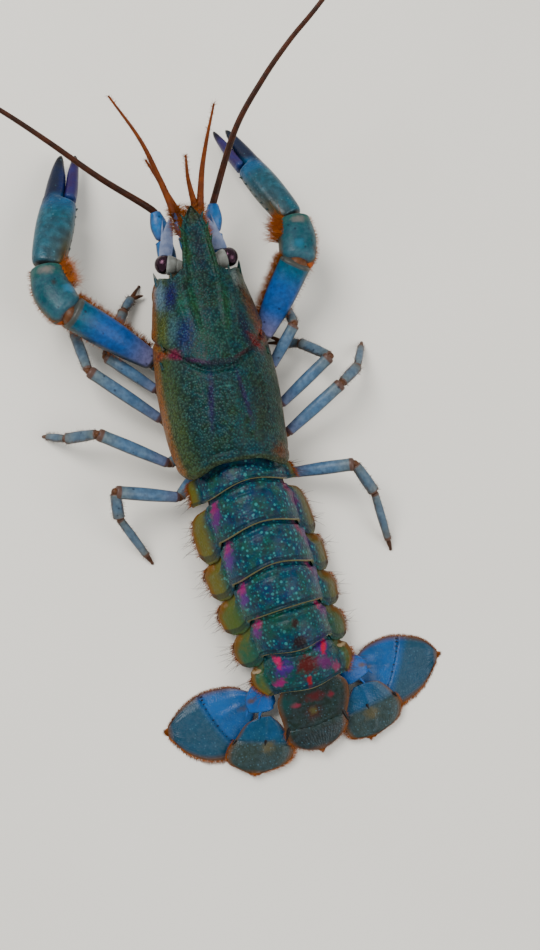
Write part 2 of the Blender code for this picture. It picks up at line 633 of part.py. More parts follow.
def make_abdomen(root):
    for somite in range(6):
        front, rear = somite_walls(somite)
        low = PLEURON_LOW_Z[somite]
        inset = TERGITE_LIP + GAP + 0.45
        high = max(low, HINGE_Z[somite] - 0.1)
        middle_low = low + 0.35 * (high - low)

        def just_behind(angle, somite=somite, front=front, rear=rear):
            clear = 0.5 + 0.7 * smooth((abs(angle) - 86) / 12)
            return min(max(front_limit(somite, angle) + clear, front + 0.6), rear - 1.2)

        def risen(angle, somite=somite, front=front, rear=rear):
            clear = 1.4 + 1.0 * smooth((abs(angle) - 86) / 12)
            return min(max(front_limit(somite, angle) + clear, front + 1.4), rear - 0.6)

        def middle(angle, rear=rear):
            return risen(angle) + 0.5 * (rear - risen(angle))

        under = max(somite - 1, 0)
        tucked = PLEURON_LOW_Z[under] + TUCKED_RISE
        rows = [(under, front, inset, tucked), (under, just_behind, inset, tucked),
                (somite, risen, 0.35, middle_low), (somite, middle, 0.0, low), (somite, rear, 0.0, low)]
        if somite == 0:
            raised = HINGE_Z[0] - 0.6
            rows = [(0, front, 1.5, raised), (0, just_behind, 1.2, raised), (0, risen, 0.6, low),
                    (0, rear, 0.2, low)]
        rings = [somite_ring(*row) for row in rows]

        def half_way(angle, somite=somite, rear=rear):
            return (rear + rear_edge(somite, angle)) / 2

        def edge(angle, somite=somite):
            return rear_edge(somite, angle)

        lip_low = low + 0.9 if somite else low
        lip = [somite_arch(somite, half_way, 0.0, (low + lip_low) / 2),
               somite_arch(somite, edge, 0.1, lip_low),
               somite_arch(somite, edge, TERGITE_LIP, lip_low),
               somite_arch(somite, rear, TERGITE_LIP, low)]
        bodies = [shell_body(rings, len(arch_angles()), None, lip)]
        if 0 < somite < 5:
            for side in SIDES:
                bodies += swimmeret(side, front + 2.6, HINGE_Z[somite] - 0.1, 6.4)
        part(f"abdomen_{somite + 1}", bodies, "shell_teal", root)


def blade(front, rear, level, thickness, side, across=7, lengthwise=9):
    """Thin curved plate between two edges of (sideways, along), split alike on both faces."""
    front_points, rear_points = spline(front, lengthwise), spline(rear, lengthwise)
    bm = bmesh.new()
    sheets = []
    for face in (1, -1):
        sheet = []
        for row, (start, end) in enumerate(zip(front_points, rear_points)):
            line = []
            for column in range(across):
                share = column / (across - 1)
                sideways, along = start.lerp(end, share)
                place = row / (lengthwise - 1)
                centre, half = level(place, share), thickness(place, share) / 2
                line.append(bm.verts.new(abdomen_point(side * sideways, along, centre + face * half)))
            sheet.append(line)
        sheets.append(sheet)
    for sheet in sheets:
        for first, second in zip(sheet, sheet[1:]):
            for number in range(across - 1):
                bm.faces.new((first[number], first[number + 1], second[number + 1]))
                bm.faces.new((first[number], second[number + 1], second[number]))
    rims = []
    for sheet in sheets:
        rims.append(sheet[0] + [line[-1] for line in sheet[1:-1]] + sheet[-1][::-1]
                    + [line[0] for line in sheet[-2:0:-1]])
    ring_faces(bm, rims[0], rims[1])
    return bm


def rounded_thickness(full, edge):
    """Plate thickness that falls to edge along both sides and the tip."""
    def thickness(lengthwise, across):
        inside = smooth(min(across, 1 - across) * 5) * smooth((1.0 - lengthwise) * 6)
        return edge + (full - edge) * inside
    return thickness


def make_tail_fan(root):
    rings = []
    for along in (57.1, 58.6, 60, 62, 64, 66, 68, 70, 71.8, 73.2, 74.1):
        half_width, top = curve(TELSON_HALF_WIDTH, along), curve(TELSON_TOP, along)
        depth = max(1.1, 3.4 - (along - 57.1) * 0.32)
        crown = 0.9 - 0.5 * smooth((along - 58) / 10)
        section = [(-1, -crown - 0.25), (-0.8, -crown * 0.55), (-0.4, -0.1), (0, 0), (0.4, -0.1),
                   (0.8, -crown * 0.55), (1, -crown - 0.25), (0.9, -depth * 0.8 - 0.3), (0, -depth),
                   (-0.9, -depth * 0.8 - 0.3)]
        rings.append([body_point(x * half_width, along, top + z) for x, z in section])
    bm = bmesh.new()
    loft(bm, rings)
    bodies = [bm]
    for side in SIDES:
        bodies.append(cone(body_point(side * 7.3, 66.4, 5.0), body_point(side * 8.4, 69.4, 4.6), 0.5))
    part("telson", bodies, "shell_teal", root)

    for side in SIDES:
        name = SIDE_NAME[side]
        base = tube([(abdomen_point(side * sideways, along, z), half_width, half_height)
                     for sideways, along, z, half_width, half_height in UROPOD_BASE[side]])
        part(f"uropod_base_{name}", [base], "limb_slate", root)

        def endopod_level(lengthwise, across):
            ridge = 0.22 * math.exp(-((across - 0.5) / 0.12) ** 2) * (1 - lengthwise)
            return ENDOPOD_LEVEL + ENDOPOD_ROOT_RISE * (1 - smooth(lengthwise / 0.5)) + ridge

        endopod = blade(ENDOPOD_OUTER[side], ENDOPOD_INNER[side], endopod_level,
                        rounded_thickness(1.15, 0.55), side)
        part(f"endopod_{name}", [endopod], "fan_blue", root)

        def exopod_thickness(lengthwise, across):
            plate = rounded_thickness(1.2, 0.55)(lengthwise, across)
            seam = 0.3 * math.exp(-((lengthwise - 0.62) / 0.05) ** 2)
            return plate + 0.7 * (1 - smooth(lengthwise / 0.3)) - seam

        def exopod_level(lengthwise, across):
            rise = EXOPOD_ROOT_RISE * (1 - smooth(lengthwise / 0.26))
            return exopod_thickness(lengthwise, across) / 2 + rise

        exopod = blade(EXOPOD_FRONT[side], EXOPOD_REAR[side], exopod_level, exopod_thickness, side,
                       lengthwise=14)
        part(f"exopod_{name}", [exopod], "fan_blue", root)


def box_ring(y, half_width, low, high, corner=0.55):
    """Upright ring with cut corners."""
    across, up = half_width * corner, (high - low) / 2 * corner
    middle = (low + high) / 2
    half = (high - low) / 2
    outline = ((-half_width, middle - up), (-half_width, middle + up), (-across, middle + half),
               (across, middle + half), (half_width, middle + up), (half_width, middle - up),
               (across, middle - half), (-across, middle - half))
    return [Vector((x, y, z)) for x, z in outline]


def make_head(root):
    bodies = []
    for rows in (HEAD_LOWER, HEAD_UPPER):
        bm = bmesh.new()
        loft(bm, [box_ring(*row) for row in rows])
        bodies.append(bm)
    for side in SIDES:
        bodies.append(egg((side * 1.85, 44.2, 7.6), (1.7, 2.3, 1.5)))
    part("head", bodies, "belly_pale", root)


def make_thorax(root):
    bm = bmesh.new()
    loft(bm, [box_ring(y, half_width, low, THORAX_TOP, 0.75) for y, half_width, low in THORAX])
    bodies = [bm]
    coxae = [(joints[0], joints[1], LEG_RADII[name]) for (name, side), joints in LEG_JOINTS.items()]
    coxae += [(joints[0], joints[1], 2.3) for joints in CHELIPED_JOINTS.values()]
    for face, ahead, radius in coxae:
        direction = (Vector(ahead) - Vector(face)).normalized()
        end = Vector(face) - direction * GAP
        radius = min(radius * 1.05, 2.2)
        bodies.append(tube([(end - direction * 4.4, radius, radius * 0.85), (end, radius, radius * 0.9)]))
    part("thorax", bodies, "belly_pale", root)


def make_eyes(root):
    for side in SIDES:
        name = SIDE_NAME[side]
        centre = Vector(EYE_CENTRE[side])
        stalk_root = mirrored(STALK_ROOT, side)
        axis = (centre - stalk_root).normalized()
        rim = math.sqrt(EYE_RADIUS ** 2 - EYE_CUT ** 2)
        stalk_end = centre - axis * (EYE_CUT + GAP)
        middle = stalk_root.lerp(stalk_end, 0.5)
        stalk = [(stalk_root, 1.5), (middle, 2.05), (stalk_root.lerp(stalk_end, 0.8), 2.4), (stalk_end, rim)]
        stalk = tube([(place, radius, radius) for place, radius in stalk], 12)
        part(f"eyestalk_{name}", [stalk], "stalk_grey", root)
        angles = [math.pi - math.acos(EYE_CUT / EYE_RADIUS)]
        angles += [math.radians(90 - 80 * number / EYE_STEPS) for number in range(EYE_STEPS + 1)]
        eye = []
        for angle in angles:
            radius = EYE_RADIUS * math.sin(angle)
            eye.append((centre + axis * EYE_RADIUS * math.cos(angle), radius, radius))
        part(f"eye_{name}", [tube(eye, 12)], "cornea_black", root)



def scale_body(side):
    """Flat pointed blade beside the rostrum."""
    half = 0.42
    rings = []
    for y, inner, outer, middle_z in ANTENNA_SCALE:
        centre_x = (inner + outer) / 2
        outline = ((inner, middle_z - half * 0.6), (inner, middle_z + half * 0.6),
                   (centre_x, middle_z + half + 0.15), (outer, middle_z + half), (outer, middle_z - half),
                   (centre_x, middle_z - half + 0.1))
        rings.append([mirrored((x, y, z), side) for x, z in outline])
    bm = bmesh.new()
    loft(bm, rings)
    return bm


def tapered(points, thick, thin, power, sides=6):
    """Round body along points, from one radius down to another."""
    last = len(points) - 1
    stations = []
    for number, point in enumerate(points):
        radius = thick + (thin - thick) * (number / last) ** power
        stations.append((point, radius, radius))
    return tube(stations, sides)


def make_feelers(root):
    for side in SIDES:
        name = SIDE_NAME[side]
        base = [(mirrored(row[:3], side), row[3], row[3] * 0.96) for row in ANTENNA_BASE]
        part(f"antenna_base_{name}", [tube(base, 10)], "limb_blue", root)
        spine = cone(mirrored((7.2, 61.6, 17.4), side), mirrored((6.3, 66.6, 17.9), side), 0.45)
        part(f"antenna_scale_{name}", [scale_body(side), spine], "scale_pale", root)
        flagellum = tapered(spline(FLAGELLA[side], 24), *FLAGELLUM_RADIUS, 0.7)
        part(f"antenna_{name}", [flagellum], "feeler_brown", root)
        stem = [(mirrored(row[:3], side), row[3], row[3]) for row in ANTENNULE_STEM]
        bodies = [tube(stem)]
        for branch in ANTENNULE_BRANCHES[side]:
            bodies.append(tapered(spline(branch, 9), *BRANCH_RADIUS, 1))
        part(f"antennule_{name}", bodies, "feeler_brown", root)
        maxilliped = [(mirrored(row[:3], side), row[3], row[3] * 0.9) for row in MAXILLIPED]
        part(f"maxilliped_{name}", [tube(maxilliped)], "limb_slate", root)


def limb_stations(joints, radii, lead=0.16):
    """Stations of a limb with a swelling at each joint.

    joints are places; radii has the start, middle and end radius of each length between them.
    """
    places = [Vector(joint) for joint in joints]
    stations = [(places[0], radii[0][0], radii[0][0])]
    for number, (start, end) in enumerate(zip(places, places[1:])):
        length = (end - start).length
        for share, radius in zip((lead, 0.5, 1 - lead), radii[number]):
            if number == 0 and share == lead:
                continue
            near = min(max(radii[number]) * 1.4 / length, 0.36)
            share = min(max(share, near), 1 - near) if share != 0.5 else share
            stations.append((start.lerp(end, share), radius, radius))
        if number < len(places) - 2:
            meet = (radii[number][2] + radii[number + 1][0]) / 2
            stations.append((end, meet, meet))
    return stations


def station_at(stations, place):
    """Number of the station that is nearest a place."""
    return min(range(len(stations)), key=lambda number: (stations[number][0] - Vector(place)).length)


def split_rings(rings, index):
    """Two runs of rings that face each other, GAP apart, where one ring was."""
    ring = rings[index]
    centre = sum(ring, Vector()) / len(ring)
    normal = (ring[1] - ring[0]).cross(ring[3] - ring[0]).normalized()
    ahead = sum(rings[index + 1], Vector()) / len(ring) - centre
    if normal.dot(ahead) < 0:
        normal = -normal
    first = [point - normal * GAP / 2 for point in ring]
    second = [point + normal * GAP / 2 for point in ring]
    return rings[:index] + [first], [second] + rings[index + 1:]


def foot_ring(centre, radius, previous):
    """Level ring on the floor whose points follow those of the ring before it."""
    middle = sum(previous, Vector()) / len(previous)
    ring = []
    for point in previous:
        ring.append(Vector((point.x - middle.x, point.y - middle.y, 0)))
    normal = (ring[1] - ring[0]).cross(ring[3] - ring[0])
    turn = 1 if normal.z > 0 else -1
    start = math.atan2(ring[0].y, ring[0].x)
    count = len(previous)
    foot = []
    for number in range(count):
        angle = start + turn * math.tau * number / count
        foot.append(Vector((centre[0] + radius * math.cos(angle), centre[1] + radius * math.sin(angle), 0)))
    return foot


def facing_ring(previous, centre, ahead, radius):
    """Ring square to the way ahead whose points follow those of the ring before it."""
    centre = Vector(centre)
    axis = (Vector(ahead) - centre).normalized()
    middle = sum(previous, Vector()) / len(previous)
    ring = []
    for point in previous:
        spoke = point - middle
        spoke -= axis * spoke.dot(axis)
        ring.append(centre + spoke.normalized() * radius)
    return ring


def make_legs(root):
    for (name, side), joints in LEG_JOINTS.items():
        radius = LEG_RADII[name]
        shape = [(radius * 0.95, radius, radius * 0.8), (radius * 0.9, radius * 1.05, radius),
                 (radius * 0.8, radius * 0.86, radius * 0.78), (radius * 0.62, radius * 0.66, radius * 0.42)]
        tip = Vector(joints[4])
        toe = tip + Vector((0, 0, FOOT_RADIUS * 1.5))
        stations = limb_stations([*joints[:4], toe], shape)
        rings = tube_rings(stations, TUBE_SIDES)
        upper, lower = split_rings(rings, station_at(stations, joints[2]))
        lower[-1] = foot_ring(tip, FOOT_RADIUS, lower[-2])
        upper_bm, lower_bm = bmesh.new(), bmesh.new()
        loft(upper_bm, upper)
        loft(lower_bm, lower)
        part(f"{name}_upper_{SIDE_NAME[side]}", [upper_bm], "limb_blue", root)
        bodies = [lower_bm]
        if len(joints) == 6:
            ankle = Vector(joints[3])
            start = ankle.lerp(tip, 0.35)
            end = Vector(joints[5])
            half = radius * 0.45
            pincer = [(start, half, half), (start.lerp(end, 0.5), half, half), (end, 0.25, 0.25)]
            bodies.append(tube(pincer, 6))
        part(f"{name}_lower_{SIDE_NAME[side]}", bodies, "limb_slate", root)


def hand_ring(joints, side, row, sides):
    """Ring of the hand at a row of (share, outward offset, half width, half height)."""
    share, offset, half_width, half_height = row
    root_place, tip_place = Vector(joints[3]), Vector(joints[4])
    axis = (tip_place - root_place).normalized()
    outward = axis.cross(Vector((0, 0, 1))).normalized() * side
    up = Vector((0, 0, 1)) - axis * axis.z
    width = HAND_WIDTH[side]
    centre = root_place + axis * (GAP + (tip_place - root_place).length * share) + outward * offset * width
    return round_ring(centre, outward, up.normalized(), half_width * width, half_height, sides)


def make_chelipeds(root):
    for side, joints in CHELIPED_JOINTS.items():
        name = SIDE_NAME[side]
        shape = [(2.0, 2.3, 2.2), (2.7, 4.0, 3.9), (3.4, CARPUS_RADIUS[side], 3.9)]
        stations = limb_stations(joints[:4], shape)
        forward = (Vector(joints[3]) - Vector(joints[2])).normalized()
        inward = Vector((0, 0, 1)).cross(forward).normalized() * side
        middle, half_width, half_height = stations[-2]
        stations[-2] = (middle - inward * CARPUS_BULGE[side], half_width, half_height)
        rings = tube_rings(stations, 12)
        upper, lower = split_rings(rings, station_at(stations, joints[2]))
        lower.append(facing_ring(lower[-1], joints[3], joints[4], WRIST_RADIUS))
        merus, carpus = bmesh.new(), bmesh.new()
        loft(merus, upper)
        loft(carpus, lower)
        ischium, elbow_place, wrist = Vector(joints[1]), Vector(joints[2]), Vector(joints[3])
        along = (elbow_place - ischium).normalized()
        top = ischium.lerp(elbow_place, 0.8) + Vector((0, 0, 3.4))
        spine = cone(top - Vector((0, 0, 0.6)), top + along * 2.0 + Vector((0, 0, 1.0)), 0.7)
        part(f"cheliped_merus_{name}", [merus, spine], "limb_blue", root)
        knob = elbow_place.lerp(wrist, 0.55) + inward * 3.2
        spine = cone(knob, knob + inward * 2.6 + forward * 1.6, 0.9)
        part(f"cheliped_carpus_{name}", [carpus, spine], "claw_teal", root)
        hand, finger = bmesh.new(), bmesh.new()
        start = FIXED_FINGER[0][0]
        reach = FIXED_FINGER_REACH[side]
        fixed = tuple((start + (row[0] - start) * reach, *row[1:]) for row in FIXED_FINGER)
        loft(hand, [hand_ring(joints, side, row, 12) for row in PALM + fixed])
        loft(finger, [hand_ring(joints, side, row, 10) for row in DACTYL])
        part(f"cheliped_hand_{name}", [hand], "claw_teal", root)
        part(f"cheliped_finger_{name}", [finger], "claw_violet", root)


def move_over_centre(root):
    """Puts the middle of the model's box at x = 0, y = 0."""
    bpy.context.view_layer.update()
    corners = [item.matrix_world @ vertex.co for item in root.children for vertex in item.data.vertices]
    for axis in range(2):
        values = [corner[axis] for corner in corners]
        root.location[axis] = -(min(values) + max(values)) / 2
    bpy.context.view_layer.update()


def main():
    for item in list(bpy.data.objects):
        bpy.data.objects.remove(item)
    root = bpy.data.objects.new("crayfish", None)
    bpy.context.scene.collection.objects.link(root)
    make_carapace(root)
    make_thorax(root)
    make_head(root)
    make_eyes(root)
    make_feelers(root)
    make_abdomen(root)
    make_tail_fan(root)
    make_chelipeds(root)
    make_legs(root)
    move_over_centre(root)


main()
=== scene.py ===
"""Dressed model of a redclaw crayfish: shell, limbs, tail fan, feelers and setae, lit on a pale floor.

Lengths are in millimetres in the animal's own frame until a mesh is made: x = 0 and y = 0 at the
middle of the carapace's rear edge, +Y towards the head, +X towards its right side, floor at z = 0.
"""

import math

import bmesh
import bpy
import numpy as np
from mathutils import Matrix, Vector


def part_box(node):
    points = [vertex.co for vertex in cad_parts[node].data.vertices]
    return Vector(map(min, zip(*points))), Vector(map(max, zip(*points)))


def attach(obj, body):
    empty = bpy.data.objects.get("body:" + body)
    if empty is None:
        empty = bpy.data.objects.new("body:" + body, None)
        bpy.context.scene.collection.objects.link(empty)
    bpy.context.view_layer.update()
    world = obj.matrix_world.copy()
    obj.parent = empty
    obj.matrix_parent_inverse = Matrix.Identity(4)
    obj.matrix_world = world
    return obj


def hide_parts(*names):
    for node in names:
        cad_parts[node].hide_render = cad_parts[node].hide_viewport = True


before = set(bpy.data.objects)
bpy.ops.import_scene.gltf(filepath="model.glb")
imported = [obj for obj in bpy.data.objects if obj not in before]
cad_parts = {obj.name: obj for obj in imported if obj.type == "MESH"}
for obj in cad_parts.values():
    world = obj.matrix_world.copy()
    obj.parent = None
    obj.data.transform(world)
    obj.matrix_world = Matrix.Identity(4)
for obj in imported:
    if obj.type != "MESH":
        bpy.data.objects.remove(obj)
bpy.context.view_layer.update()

MM = 0.001
SHARP_ANGLE = math.radians(50)
WELD_DISTANCE = 2e-7
LEFT, RIGHT = -1, 1
SIDES = (LEFT, RIGHT)
SIDE_NAME = {LEFT: "left", RIGHT: "right"}
HEAD_FRONT_Y = 55.4
head_low, head_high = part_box("head")
OFFSET = np.array(((head_low[0] + head_high[0]) / 2, head_high[1] - HEAD_FRONT_Y * MM, 0.0))

# Carapace: guide lines over the shell as (degrees from the top, y), and sizes along y
REAR_EDGE = ((0, 0.5), (24, 0.3), (44, -0.9), (60, -1.4), (75, -0.8), (90, 0.9), (105, 2.4), (124, 4.4))
GROOVE = ((0, 23.0), (15, 23.6), (43, 29.0), (70, 33.5), (100, 37.0), (124, 38.5))
FRONT_EDGE = ((0, 51.5), (20, 51.0), (38, 49.4), (55, 50.4), (68, 51.2), (90, 49.5), (124, 45.6))
CARAPACE_HALF_WIDTH = ((-3, 12.9), (1, 14.1), (7, 15.1), (20, 15.7), (30, 15.1), (40, 13.8), (51, 11.5))
CARAPACE_SWAY = ((-3, 1.0), (3.4, 0.35), (9, 0.0))
CARAPACE_TOP = ((-3, 23.8), (4, 25.8), (12, 27.6), (23, 28.6), (36, 28.2), (51, 26.0))
CARAPACE_MIDDLE_Z = 13.0
CARAPACE_LOWER_DEPTH = 7.4
EDGE_ANGLE = 124
CARAPACE_WALLS = (3.4, 44.5)
SHELL_THICKNESS = 0.9
GROOVE_DEPTH = 0.8
ROOF_HALF_WIDTH = 8.2
ROOF_Z = ((34.0, 10.8), (39.5, 16.8))
AREOLA_HALF_WIDTH = ((0, 5.6), (6, 4.2), (12, 3.9), (18, 4.6), (22, 6.0))
KEELS = ((3.2, 33.5, 4.2, 50.5, 0.5), (6.0, 34.5, 7.4, 48.6, 0.45))

# Spines of the shell's top: root and how deep it is sunk, tip and how far it rises, radius
SHELL_SPINES = (((7.3, 47.4, 0.7), (7.4, 50.4, 0.9), 0.7), ((13.2, 26.8, 0.8), (13.9, 29.4, 0.9), 0.7),
                ((12.4, 31.6, 0.6), (12.9, 33.4, 0.6), 0.45))

# Rostrum: y, half width, height of its top
ROSTRUM = ((43.5, 4.8, 26.2), (46, 4.7, 26.4), (49, 4.6, 26.0), (52.4, 4.3, 25.6), (56, 3.9, 25.2),
           (60.3, 3.5, 24.8), (63.5, 2.5, 24.4), (65.6, 1.2, 24.1), (67, 0.25, 24.0))
ROSTRUM_DEPTH = 2.3
ROSTRUM_LEAN = 0.04
ROSTRUM_SPINES_Y = (56.8, 60.4, 63.4)

# Abdomen: somites 1 to 6, along its own axis from the carapace's rear edge
ABDOMEN_START = (1.0, 0.0)
ABDOMEN_DEGREES = 6.5
ABDOMEN_TURN = math.radians(ABDOMEN_DEGREES)
ABDOMEN_SWAY = ((0, 0.2), (20, 0.5), (40, 0.9), (52, 1.2), (59, 1.7), (64, 1.5), (68, 0.7), (74, 0.5))
ABDOMEN_HALF_WIDTH = ((4.4, 14.0), (9, 14.9), (15, 15.7), (22, 15.9), (30, 15.9), (38, 15.6), (46, 14.6),
                      (50, 14.0), (53, 13.4), (55, 11.8), (58.4, 9.6))
TERGITE_HALF_WIDTH = ((0, 11.6), (15, 11.3), (28, 11.3), (38, 10.4), (48, 9.8), (53, 9.8), (58.4, 8.8))
ABDOMEN_TOP = ((4.4, 22.4), (15.5, 22.8), (26.2, 22.0), (37.5, 20.4), (48.4, 17.6), (58.4, 12.9))
SOMITE_REAR = (4.4, 15.5, 26.2, 37.5, 48.4, 58.4)
SOMITE_SHOULDER = (1.6, 1.5, 1.7, 0.2, -1.5, -1.2)
HINGE_Z = (13.4, 12.6, 12.2, 11.8, 11.0, 9.8)
HINGE_TURN = math.radians(72)
SOMITE_WALL_DEPTH = (1.0, 1.6, 1.6, 1.6, 1.6, 1.6)
PLEURON_LOW_Z = (10.8, 4.9, 4.6, 4.5, 4.5, 8.0)
PLEURON_LOBE = (0.0, 4.0, 2.9, 2.3, 2.1, 0.0)
PLEURON_ANGLE = 122
TUCKED_RISE = 2.6
PLEURON_BRISTLES = {LEFT: 16, RIGHT: 7}
TERGITE_LIP = 0.7
SWIMMERET_LENGTH = 6.4
GAP = 0.3

# Tail fan, as (sideways, along the abdomen)
TELSON_HALF_WIDTH = ((57.1, 7.6), (58.8, 9.0), (60.5, 9.5), (63.5, 9.2), (67.7, 8.2), (70, 7.6), (72, 6.0),
                     (73.4, 3.4), (74.1, 1.2))
TELSON_TOP = ((57.1, 11.0), (60, 9.2), (64, 7.0), (68, 5.4), (74.1, 4.3))
EXOPOD_FRONT = {
    LEFT: ((12.9, 54.8), (17.0, 52.5), (22.0, 51.6), (26.9, 52.0), (31.8, 54.2), (35.5, 57.2)),
    RIGHT: ((15.4, 55.2), (20.6, 53.0), (26.4, 52.5), (31.4, 53.9), (35.4, 56.3), (37.9, 60.0)),
}
EXOPOD_REAR = {
    LEFT: ((13.2, 60.2), (16.0, 65.2), (21.6, 68.9), (27.4, 68.4), (32.4, 64.8), (35.9, 59.3)),
    RIGHT: ((15.6, 61.0), (17.6, 65.9), (22.2, 69.8), (27.0, 69.4), (32.3, 66.8), (37.3, 61.9)),
}
ENDOPOD_OUTER = {
    LEFT: ((12.6, 61.6), (16.2, 62.2), (19.3, 64.6), (22.4, 67.2), (23.2, 70.2), (19.4, 74.1)),
    RIGHT: ((16.2, 61.6), (19.8, 62.4), (22.5, 65.6), (24.0, 69.5), (21.6, 73.2), (15.6, 75.3)),
}
ENDOPOD_INNER = {
    LEFT: ((9.6, 62.2), (7.6, 65.6), (6.6, 69.6), (6.8, 72.8), (9.8, 74.9), (16.0, 75.3)),
    RIGHT: ((12.6, 62.0), (10.4, 64.6), (8.8, 67.6), (7.8, 70.6), (8.8, 74.0), (12.4, 75.2)),
}
BLADE_ROWS, BLADE_COLUMNS = 90, 64
BLADE_EDGE = 0.35
EXOPOD_ROOT_RISE = 1.2
SUTURE = {LEFT: 0.555, RIGHT: 0.51}
ENDOPOD_LEVEL = 2.1
ENDOPOD_ROOT_RISE = 2.2

# Their stalk: sideways, along, z, half width and half height
UROPOD_STALK = {
    LEFT: ((9.2, 53.4, 6.2, 1.3, 0.9), (10.4, 55.6, 5.8, 2.6, 1.1), (11.4, 58.0, 5.3, 3.1, 1.2),
           (11.9, 60.6, 4.9, 2.0, 1.0)),
    RIGHT: ((12.2, 53.4, 6.2, 1.3, 0.9), (13.2, 55.6, 5.8, 2.6, 1.1), (14.2, 58.0, 5.3, 3.1, 1.2),
            (14.9, 60.4, 4.9, 2.0, 1.0)),
}

# Head and feelers, right side unless both are given
HEAD_LOWER = ((40.4, 5.0, 8.8, 15.8), (44, 7.2, 7.6, 16.3), (50, 7.4, 7.8, 16.4), (53.4, 6.9, 9.2, 16.4),
              (54.9, 6.2, 10.8, 15.8))
HEAD_UPPER = ((45.2, 2.6, 15.2, 20.6), (49, 3.0, 15.0, 22.0), (53.6, 3.0, 15.0, 22.2),
              (55.4, 2.5, 15.6, 21.4))
THORAX = ((1.0, 5.4, 4.2), (4, 7.0, 3.8), (12, 7.6, 3.6), (20, 7.6, 3.6), (28, 7.2, 3.8), (34, 6.0, 4.4),
          (37.2, 4.6, 5.2))
THORAX_TOP = 10.3
COXA_LENGTH, COXA_RADIUS = 4.4, 2.2
EYE_CENTRE = {LEFT: (-8.2, 54.0, 20.0), RIGHT: (8.4, 53.5, 20.0)}
EYE_RADIUS = 2.5
EYE_CUT = 0.7
STALK_ROOT = (3.8, 52.7, 20.3)
PEDUNCLE = ((6.3, 55.4, 13.2), (6.7, 62.4, 14.2), (7.7, 69.5, 16.1))
FLAGELLUM_ROOT = (7.3, 68.2, 15.9)
RING_LENGTH = 0.5
ANTENNULE_STEM = ((1.5, 55.9, 18.6), (2.3, 61.0, 19.2), (2.7, 65.0, 19.9), (2.9, 67.6, 20.6))
MAXILLIPED = ((4.9, 38.0, 5.6), (5.0, 48.4, 5.8), (4.3, 54.6, 8.0), (3.8, 57.4, 9.4))
ANTENNA_SCALE = ((56.9, 5.6, 8.9, 17.1), (59, 4.9, 8.5, 17.3), (62, 4.4, 7.4, 17.5), (64.6, 4.0, 6.0, 17.6),
                 (66.4, 3.9, 4.8, 17.7))
FLAGELLA = {
    LEFT: ((-8.9, 70.6, 16.9), (-20.7, 75.1, 30), (-31.3, 81.3, 40), (-41.4, 87.3, 48),
           (-58, 97.5, 57), (-77, 110, 59), (-95, 122, 54)),
    RIGHT: ((8.1, 70.5, 17.0), (14.2, 81.0, 34), (21.2, 87.7, 45), (28.0, 92.8, 53),
            (35.8, 97.9, 60), (54, 114, 68), (72, 132, 68), (86, 147, 61)),
}
ANTENNULE_BRANCHES = {
    LEFT: (((-3.3, 67.3, 20.8), (-5.8, 74.1, 26), (-9.5, 81.7, 34), (-15.8, 90.4, 42)),
           ((-2.4, 67.2, 20.6), (-5.4, 73.5, 24), (-8.6, 79.3, 27.5))),
    RIGHT: (((3.5, 67.3, 20.8), (5.0, 74.5, 27), (6.9, 80.0, 33), (9.4, 85.9, 40)),
            ((2.4, 67.2, 20.6), (1.2, 73.0, 26.8), (1.2, 77.4, 31.4))),
}

# Walking legs: coxa face, ischium end, knee, ankle, tip, and a pincer's second tip
LEG_JOINTS = {
    ("leg_2", LEFT): ((-9.8, 22.6, 5.4), (-15.0, 25.0, 6.8), (-26.6, 36.2, 7.0), (-19.6, 48.7, 3.6),
                      (-14.3, 55.5, 0), (-13.6, 52.6, 1.2)),
    ("leg_3", LEFT): ((-9.8, 15.2, 5.4), (-15.2, 17.0, 7.0), (-31.7, 31.9, 12), (-33.5, 44, 5.4),
                      (-33.2, 52.5, 0), (-31.0, 51.6, 1.2)),
    ("leg_4", LEFT): ((-9.8, 8.0, 5.4), (-15.5, 5.4, 7.2), (-32.3, 15.1, 13), (-40.3, 16.4, 7),
                      (-46.1, 19.3, 0)),
    ("leg_5", LEFT): ((-9.6, 1.2, 5.2), (-14.4, -3.6, 6.2), (-30.5, -0.3, 13), (-30.6, -6.5, 9),
                      (-24.1, -18.6, 0)),
    ("leg_2", RIGHT): ((9.8, 23.0, 5.4), (15.8, 26.2, 7.0), (23.4, 35.6, 11.4), (23.4, 41.5, 4.8),
                       (20.4, 49.6, 0), (18.4, 48.6, 1.2)),
    ("leg_3", RIGHT): ((9.8, 15.0, 5.4), (16.2, 15.8, 7.0), (30.7, 25.2, 13), (24.8, 31.7, 5.8),
                       (16.9, 34.4, 0), (17.4, 36.2, 1.4)),
    ("leg_4", RIGHT): ((9.8, 8.0, 5.4), (16.4, 8.0, 7.2), (32.3, 17.6, 13), (38.3, 22.2, 8),
                       (42.8, 30.3, 0)),
    ("leg_5", RIGHT): ((9.6, 1.4, 5.2), (15.8, -2.4, 6.2), (31.3, -4, 13), (35.7, -11.6, 9),
                       (38.9, -26.6, 0)),
}
LEG_RADII = {"leg_2": 1.45, "leg_3": 1.5, "leg_4": 1.55, "leg_5": 1.6}
FOOT_RADIUS = 0.45

# Chelipeds: coxa face, ischium end, merus end, carpus end, tips
CHELIPED_JOINTS = {
    LEFT: ((-9.6, 30.4, 5.2), (-14.8, 33.0, 7.0), (-33.8, 46.5, 18.0), (-37.4, 59.4, 14.8),
           (-26.8, 93.2, 4.0)),
    RIGHT: ((9.6, 31.0, 5.2), (15.0, 35.0, 7.0), (26.2, 51.0, 17.4), (28.0, 62.8, 14.8), (14.9, 94.6, 4.2)),
}
CARPUS_BULGE = {LEFT: 1.8, RIGHT: 0.8}
CARPUS_RADIUS = {LEFT: 5.2, RIGHT: 5.0}
HAND_WIDTH = {LEFT: 1.06, RIGHT: 0.86}
FINGER_REACH = {LEFT: 1.0, RIGHT: 0.94}

